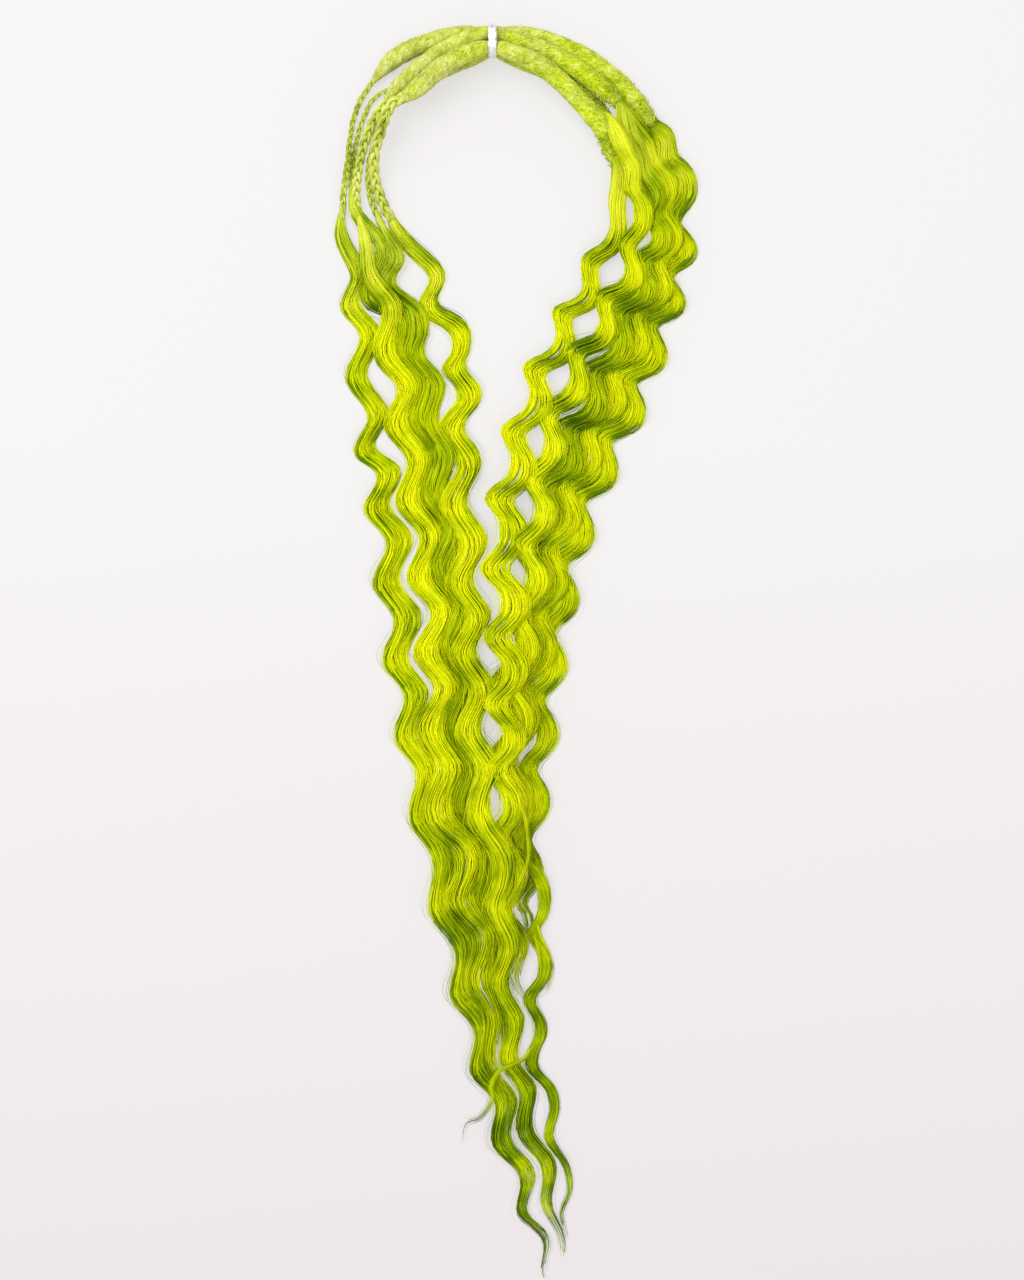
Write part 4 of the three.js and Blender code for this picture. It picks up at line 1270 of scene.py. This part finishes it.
@dataclass
class WavyLock:
    """A long crimped lock of loose hair."""

    name: str
    plan: LockPlan
    root: np.ndarray
    start: np.ndarray
    points_per_wave: int = 10
    root_waves: float = 0.5
    fullness: float = 1.36
    filling_length: float = 60 * MM
    opening_length: float = 15 * MM
    pinched_share: float = 0.42
    slimmest_share: float = 0.24
    tail_from: float = 0.45
    tail_over: float = 0.3
    lobe_swing: float = 0.6
    roll: float = 0.32
    full_width: float = 3.4 * MM
    wisp_step: float = 1.6 * MM
    wisp_half: Point = (1.1 * MM, 0.4 * MM)
    wisp_lift: float = 0.5 * MM
    wisp_full_width: float = MM

    def guide(self) -> Line:
        """The lock's middle line without its waves, and what the strands need along it.

        Returns:
            X, Y and Z of each point, and the attributes by name.
        """
        rows = np.array(self.plan.rows)
        rows = np.vstack([rows[0], rows])
        rows[0, Column.WAVES.value] -= self.root_waves
        rows[0, Column.SWING.value] = 0
        waves = rows[:, Column.WAVES.value]
        places = [self.root, self.start, *(plan_point(*row[:2]) for row in self.plan.rows[1:])]
        line = Guide(places, swing=rows[:, Column.SWING.value], width=rows[:, Column.WIDTH.value])
        count = math.ceil((waves[-1] - waves[0]) * self.points_per_wave)
        counted = np.linspace(waves[0], waves[-1], count + 1)
        positions = np.interp(counted, waves, np.arange(len(waves)))
        points, width = line.place(positions), line.column("width", positions)
        swing = line.column("swing", positions) * WAVE_SWING * (1 + self.lobe_swing * self.plan.lobe)
        waved = points + side_directions(points) * (swing * np.sin(TURN * counted))[:, None]
        heights = Bed(self.name).heights(waved, smooth=4, root=Bed(self.plan.parent))

        run = running_length(points)
        root = self.plan.root_fullness
        fullness = root + (self.fullness - root) * eased(run / self.filling_length)
        pinched = self.pinched_share + (1 - self.pinched_share) * eased(run / self.opening_length)
        tail = 1 - (1 - self.plan.tail) * eased((run / run[-1] - self.tail_from) / self.tail_over)
        attributes = strand_attributes(
            points,
            RIGHT_ROOT_SHARE if self.plan.parent in DREADS else LEFT_ROOT_SHARE,
            wave=TURN * counted,
            swing=swing,
            half_width=np.maximum(width, self.slimmest_share) * fullness * pinched * tail * LOCK_WIDTH / 2,
            half_rise=np.minimum(width, 1.0) * LOCK_THICKNESS / 2,
        )
        return np.column_stack([points, heights]), attributes

    def wisp(self, stations: Sequence[Point], beds: Sequence[Bed]) -> Line:
        """The middle line of a loose wisp that lies over the locks.

        Args:
            stations: Its stations in the plan.
            beds: The beds of the solids that it may lie on.

        Returns:
            X, Y and Z of each point, and the attributes by name.
        """
        line = Guide([plan_point(*station) for station in stations])
        points = line.place(line.even_positions(self.wisp_step))
        tops = np.nanmax([[0.0, *(bed.hit(x, y, -1) for bed in beds)] for x, y in points], axis=1)
        padded = np.pad(tops, 3, mode="edge")
        raised = np.max([padded[shift : shift + len(points)] for shift in range(7)], axis=0)
        heights = averaged(raised, 4) + self.wisp_lift
        half_width, half_rise = self.wisp_half
        sizes = {"half_width": half_width, "half_rise": half_rise}
        attributes = strand_attributes(points, 0.0, wave=0.0, swing=0.0, **sizes)
        return np.column_stack([points, heights]), attributes

    def build(self, shop: Workshop, material: bpy.types.Material) -> None:
        """Builds and settles the lock with its wisps.

        Args:
            shop: The shared groups.
            material: The hair finish.
        """
        bundles = [(self.guide(), LOCK_LAYERS, self.plan.seed, self.full_width)]
        beds = [Bed(lock) for lock in LOCKS] if self.plan.wisps else []
        for turn, stations in enumerate(self.plan.wisps):
            line = self.wisp(stations, beds)
            bundles.append((line, WISP_LAYERS, self.plan.seed + 20 * turn + 50, self.wisp_full_width))
        meshes = []
        for line, layers, seed, full_width in bundles:
            shared = {"lock_seed": seed, "full_width": full_width, "roll": self.roll, "lobe": self.plan.lobe}
            for number, layer in enumerate(layers):
                sizes = vars(layer) | shared | {"seed": seed * 100 + number, "material": material}
                meshes.append(shop.strands(line, shop.wavy, **sizes))
        shop.settle(f"{self.name}_hair", meshes, material, self.name, self.plan.shade.value)


@dataclass
class Plait:
    """A thin three-strand plait."""

    name: str
    plan: PlaitPlan
    root: np.ndarray
    start: np.ndarray
    step: float = 0.8 * MM
    weave_across: float = 0.54
    weave_up: float = 0.8

    def guide(self) -> Line:
        """The plait's middle line and what its strands need along it.

        Returns:
            X, Y and Z of each point, and the attributes by name.
        """
        widths = [row[2] for row in self.plan.rows]
        places = [self.root, self.start, *(plan_point(*row[:2]) for row in self.plan.rows[1:])]
        line = Guide(places, width=[widths[0], *widths])
        positions = line.even_positions(self.step)
        points = line.place(positions)
        width = line.column("width", positions) * self.plan.slimness
        half_rise = np.minimum(width, 1.0) * PLAIT_THICKNESS / 2
        half_width = width * PLAIT_WIDTH / 2
        attributes = strand_attributes(points, LEFT_ROOT_SHARE, half_width=half_width, half_rise=half_rise)
        heights = Bed(self.name).heights(points, smooth=5, root=Bed(self.plan.parent))
        return np.column_stack([points, heights]), attributes

    def build(self, shop: Workshop, material: bpy.types.Material) -> None:
        """Builds and settles the plait.

        Args:
            shop: The shared groups.
            material: The hair finish.
        """
        line = self.guide()
        shared = {
            "pitch": self.plan.pitch,
            "weave_across": self.weave_across,
            "weave_up": self.weave_up,
            "full_width": PLAIT_WIDTH / 2,
            "material": material,
        }
        meshes = [
            shop.strands(line, shop.plaited, **vars(layer), **shared, seed=self.plan.seed * 10 + number)
            for number, layer in enumerate(PLAIT_LAYERS)
        ]
        shop.settle(f"{self.name}_hair", meshes, material, self.name, "plaited_hair")


@dataclass
class Dread:
    """A felted dread, lumpy and fuzzy all over."""

    name: str
    plan: DreadPlan
    step: float = 1.1 * MM
    sides: int = 30
    lump: float = 0.5 * MM
    lump_scale: float = 150.0
    crinkle: float = 0.3 * MM
    crinkle_scale: float = 0.6
    fuzz_density: float = 0.3e6
    curl_density: float = 0.9e6
    twist: float = 150.0
    threads_around: float = 5.4
    threads_along: float = 330.0
    frayed_length: float = 24 * MM
    gripped_length: float = 4 * MM
    squeeze: float = 0.25
    lowest: float = 0.1 * MM
    right_end: Point = (2.6, 0.6)
    left_end: Point = (3.4, 0.44)

    def guide(self) -> Guide:
        """The dread's line with its width and thickness shares.

        Returns:
            The guide, from the right end to the left.
        """
        fold = plan_point(BAND_ACROSS, BAND_ALONG)
        column = (DREAD_SQUEEZED + LAY_GAP) / 2
        fold[1] += column if self.plan.farther_column else -column
        rows = (*self.plan.right, *self.plan.left)
        places, widths = [plan_point(*row[:2]) for row in rows], [row[2] for row in rows]
        thicknesses = list(widths)
        squeezed = (fold, DREAD_SQUEEZED / DREAD_WIDTH, DREAD_SQUEEZED / DREAD_THICKNESS)
        for items, item in zip((places, widths, thicknesses), squeezed):
            items.insert(len(self.plan.right), item)
        return Guide(places, width=widths, thickness=thicknesses)

    def surface(self) -> bpy.types.Mesh:
        """The felted body with rounded ends and uneven sides.

        Returns:
            A closed mesh.
        """
        line = self.guide()
        positions = line.even_positions(self.step)
        points = line.place(positions)
        heights, run = Bed(self.name).heights(points, smooth=5), running_length(points)
        half = line.column("width", positions) * DREAD_WIDTH / 2
        rise = line.column("thickness", positions) * DREAD_THICKNESS / 2
        under_band = run[int(np.argmin(np.abs(positions - len(self.plan.right))))]
        held = np.exp(-(((run - under_band) / self.gripped_length) ** 2))
        shape = self.end_shape(run / half, *self.right_end)
        shape *= self.end_shape((run[-1] - run) / half, *self.left_end)
        shape *= 1 - self.squeeze * held
        fray = np.clip(1 - run / self.frayed_length, 0, 1) - 0.62 * held
        vertices, wound = [], []
        for index, side in enumerate(side_directions(points)):
            full = shape[index]
            for corner in range(self.sides):
                angle = TURN * corner / self.sides
                across, up = half[index] * full * math.cos(angle), rise[index] * full * math.sin(angle)
                spot = Vector((*points[index], heights[index] + up)) + Vector((*(side * across), 0))
                out = Vector((*(side * math.cos(angle)), math.sin(angle)))
                helix = angle + self.twist * run[index]
                around = [self.threads_around * way(helix) for way in (math.cos, math.sin)]
                thread = Vector((*around, run[index] * self.threads_along + self.plan.seed))
                swell = self.lump * noise.noise(spot * self.lump_scale + Vector((self.plan.seed, 0, 0)))
                swell += self.crinkle * (1 + fray[index]) * noise.noise(thread * self.crinkle_scale)
                spot += out * swell * full * (1 - 0.7 * held[index])
                spot.z = max(spot.z, self.lowest)
                vertices.append(spot)
                wound.append(thread)
        attributes = {
            "strand_tone": np.full(len(vertices), 0.5),
            "fray": np.repeat(fray, self.sides),
            "vivid": np.repeat(np.clip(1.15 - 1.15 * run / run[-1], 0.2, 1.15), self.sides),
            "wound": np.array(wound),
        }
        return carrying_mesh(vertices, [], ring_faces(len(points), self.sides, False), attributes)

    @staticmethod
    def end_shape(distance: np.ndarray, taper: float, share: float) -> np.ndarray:
        """How full the dread is near one of its ends.

        Args:
            distance: The distance from the end, in half widths.
            taper: The length over which it narrows.
            share: How full it is just before it closes.

        Returns:
            A share of the full size for each distance.
        """
        narrowed = share + (1 - share) * eased(distance / taper)
        closing = np.clip(distance / 0.45, 0.03, 1)
        return narrowed * np.sqrt(1 - (1 - closing) ** 2)

    def build(self, shop: Workshop, material: bpy.types.Material) -> None:
        """Builds and settles the dread.

        Args:
            shop: The shared groups.
            material: The felt finish.
        """
        fuzzy = shop.grown(
            self.surface(), shop.fuzz, density=self.fuzz_density, fibre_length=0.85 * MM,
            fibre_radius=0.05 * MM, lean=1.1, curl_density=self.curl_density, curl_radius=0.95 * MM,
            curl_thickness=0.17 * MM, seed=self.plan.seed, material=material,
        )
        shop.settle(f"{self.name}_felted", [fuzzy], material, self.name, "felted_dread")


@dataclass
class FoilBand:
    """The narrow foil band around the four dreads at the fold."""

    node: str = "tie_band"
    wall: float = 0.35 * MM
    sides: int = 72
    rings: int = 9
    squareness: float = 4.0
    crumple: float = 0.2 * MM
    crumple_scale: float = 1.6
    tightness: float = 1.4 * MM
    rim_curl: float = 0.25 * MM
    lowest: float = 0.05 * MM

    def build(self, shop: Workshop, material: bpy.types.Material) -> None:
        """Builds and settles the band.

        Args:
            shop: The workshop that settles it.
            material: The foil finish.
        """
        low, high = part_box(self.node)
        middle, half = (low + high) / 2, (high - low) / 2
        vertices, rows = [], 2 * self.rings
        for row in range(rows):
            outer = row < self.rings
            place = (row if outer else rows - 1 - row) / (self.rings - 1)
            curled = -self.rim_curl * (2 * place - 1) ** 8
            inset = 0 if outer else self.wall
            for corner in range(self.sides):
                angle = TURN * corner / self.sides
                c, s = math.cos(angle), math.sin(angle)
                stretch = (abs(c) ** self.squareness + abs(s) ** self.squareness) ** (-1 / self.squareness)
                across = middle.y + c * stretch * (half.y - self.tightness - inset)
                up = middle.z + s * stretch * (half.z - inset)
                shift = noise.noise_vector(Vector((place * 2, c * 3, s * 3)) * self.crumple_scale)
                spot = Vector((low.x + place * (high.x - low.x), across, up))
                spot += Vector((shift.x * 0.9, shift.y, shift.z)) * self.crumple + Vector((0, c, s)) * curled
                spot.z = max(spot.z, self.lowest)
                vertices.append(spot)
        mesh = carrying_mesh(vertices, [], ring_faces(rows, self.sides, True), {})
        shop.settle("tie_band_foil", [mesh], material, self.node, "tie_foil")


class Hairpiece:
    """The whole extension: its finishes and its pieces in order."""

    def __init__(self) -> None:
        """Makes the shared groups and the finishes."""
        self.shop = Workshop()
        tip, pale = linear(112, 150, 0), linear(214, 222, 108)
        dark, root = linear(80, 116, 0), linear(174, 195, 34)
        # The bright and deep hair finishes are lit and shaded copies of one colour: painted light and painted
        # shade.
        shades = {
            Shade.BRIGHT: ("hair_bright", dark, linear(192, 209, 0), linear(229, 233, 8)),
            Shade.MIDDLE: ("hair_middle", dark, linear(182, 202, 0), linear(221, 227, 4)),
            Shade.DEEP: ("hair_deep", linear(66, 100, 0), linear(150, 178, 0), linear(196, 208, 0)),
        }
        self.locks = {shade: HairFinish(*looks, tip, root, pale).material() for shade, looks in shades.items()}
        self.plait = HairFinish(
            "hair_plaited", linear(88, 110, 4), linear(168, 184, 42), linear(206, 214, 112), tip,
            linear(190, 198, 96), pale, roughness=0.5,
        ).material()
        self.felt = FeltFinish(
            "felted_fibre", linear(124, 136, 34), linear(180, 185, 86), linear(222, 223, 162),
            linear(190, 206, 20), linear(124, 150, 0),
        ).material()
        self.foil = FoilFinish("foil", linear(248, 248, 248), linear(196, 198, 202)).material()

    @staticmethod
    def origin_of(plan: PlaitPlan | LockPlan) -> tuple[np.ndarray, np.ndarray]:
        """Where a plait or lock grows from its parent.

        Args:
            plan: The plan of the plait or lock.

        Returns:
            X and Y of a point inside the parent and of the parent's nearer end.
        """
        towards = plan_point(*plan.rows[1][:2])
        dread = DREADS.get(plan.parent)
        runs = (dread.right[:2], dread.left[:-3:-1]) if dread else (PLAITS[plan.parent].rows[:-3:-1],)
        ends = [(plan_point(*run[0][:2]), plan_point(*run[1][:2])) for run in runs]
        end, inner = min(ends, key=lambda pair: float(np.linalg.norm(pair[0] - towards)))
        inwards = (inner - end) / np.linalg.norm(inner - end)
        return end + inwards * ROOT_DEPTH, end

    def build(self) -> None:
        """Builds every piece from the surface upwards."""
        for name, plan in DREADS.items():
            Dread(name, plan).build(self.shop, self.felt)
        for name, plan in PLAITS.items():
            Plait(name, plan, *self.origin_of(plan)).build(self.shop, self.plait)
        for name, plan in LOCKS.items():
            WavyLock(name, plan, *self.origin_of(plan)).build(self.shop, self.locks[plan.shade])
        FoilBand().build(self.shop, self.foil)


@dataclass
class Studio:
    """The pale floor, the soft lights and the camera."""

    floor_colour: Colour = (0.215, 0.21, 0.213)
    floor_size: float = 60.0
    # The floor's glow is painted light that lifts the shadows; it dims and warms towards the tips as painted
    # falloff of the light.
    floor_glow: float = 0.6
    glow_colour: Colour = (1.0, 0.985, 0.98)
    glow_at_tips: Colour = (0.9, 0.83, 0.855)
    glow_span: Point = (0.1, -0.3)
    sky_colour: Colour = (1.0, 0.972, 0.962)
    sky_strength: float = 0.95
    view_middle: Point = (-1.7 * MM, 6.0 * MM)
    view_height: float = 614.4 * MM
    view_distance: float = 1.5
    sensor_height: float = 24.0

    def floor(self) -> None:
        """Lays the floor, which glows with painted light."""
        nodes = ShaderTree("paper")
        towards_tips = nodes.ranged(nodes.parts(nodes.place)[1], *self.glow_span)
        material = nodes.finished({
            "Base Color": (*self.floor_colour, 1.0),
            "Roughness": 0.9,
            "Specular IOR Level": 0.1,
            "Emission Color": nodes.ramp(towards_tips, ((0.0, self.glow_colour), (1.0, self.glow_at_tips))),
            "Emission Strength": self.floor_glow,
        })
        half = self.floor_size / 2
        corners = [(-half, -half, 0), (half, -half, 0), (half, half, 0), (-half, half, 0)]
        floor = bpy.data.objects.new("floor", carrying_mesh(corners, [], [(0, 1, 2, 3)], {}))
        bpy.context.collection.objects.link(floor)
        floor.data.materials.append(material)

    @staticmethod
    def softbox(name: str, place: Colour, size: float, power: float, colour: Colour) -> None:
        """Hangs a square light that faces the piece.

        Args:
            name: The light's name.
            place: X, Y and Z of the place where it hangs.
            size: Its side.
            power: Its power in watts.
            colour: Its colour.
        """
        data = bpy.data.lights.new(name, "AREA")
        data.shape, data.size, data.energy, data.color = "SQUARE", size, power, colour
        lamp = bpy.data.objects.new(name, data)
        bpy.context.collection.objects.link(lamp)
        lamp.location = place
        lamp.rotation_euler = (-Vector(place)).to_track_quat("-Z", "Y").to_euler()

    def lights(self) -> None:
        """Hangs the main light at the upper left, a weak fill at the right, and the sky's light."""
        self.softbox("main_light", (-0.95, 0.85, 1.8), 1.7, 36.0, (0.985, 0.99, 1.0))
        self.softbox("fill_light", (1.2, -0.6, 1.6), 1.4, 4.0, (1.0, 0.98, 0.97))
        world = bpy.data.worlds.new("soft_sky")
        world.use_nodes = True
        background = world.node_tree.nodes["Background"]
        background.inputs["Color"].default_value = (*self.sky_colour, 1.0)
        background.inputs["Strength"].default_value = self.sky_strength
        bpy.context.scene.world = world

    def camera(self) -> None:
        """Sets the camera straight above the piece."""
        data = bpy.data.cameras.new("camera")
        data.sensor_fit = "VERTICAL"
        data.sensor_height = self.sensor_height
        data.lens = self.sensor_height * self.view_distance / self.view_height
        data.clip_end = 20.0
        camera = bpy.data.objects.new("camera", data)
        bpy.context.collection.objects.link(camera)
        camera.location = (*(OFFSET + self.view_middle), self.view_distance)
        bpy.context.scene.camera = camera

    def build(self) -> None:
        """Sets up the floor, the lights and the camera."""
        self.floor()
        self.lights()
        self.camera()
        bpy.context.scene.view_settings.view_transform = "Standard"


def main() -> None:
    """Builds the scene."""
    logging.basicConfig(level=logging.INFO, format="%(message)s")
    Studio().build()
    Hairpiece().build()


if __name__ == "__main__":
    main()
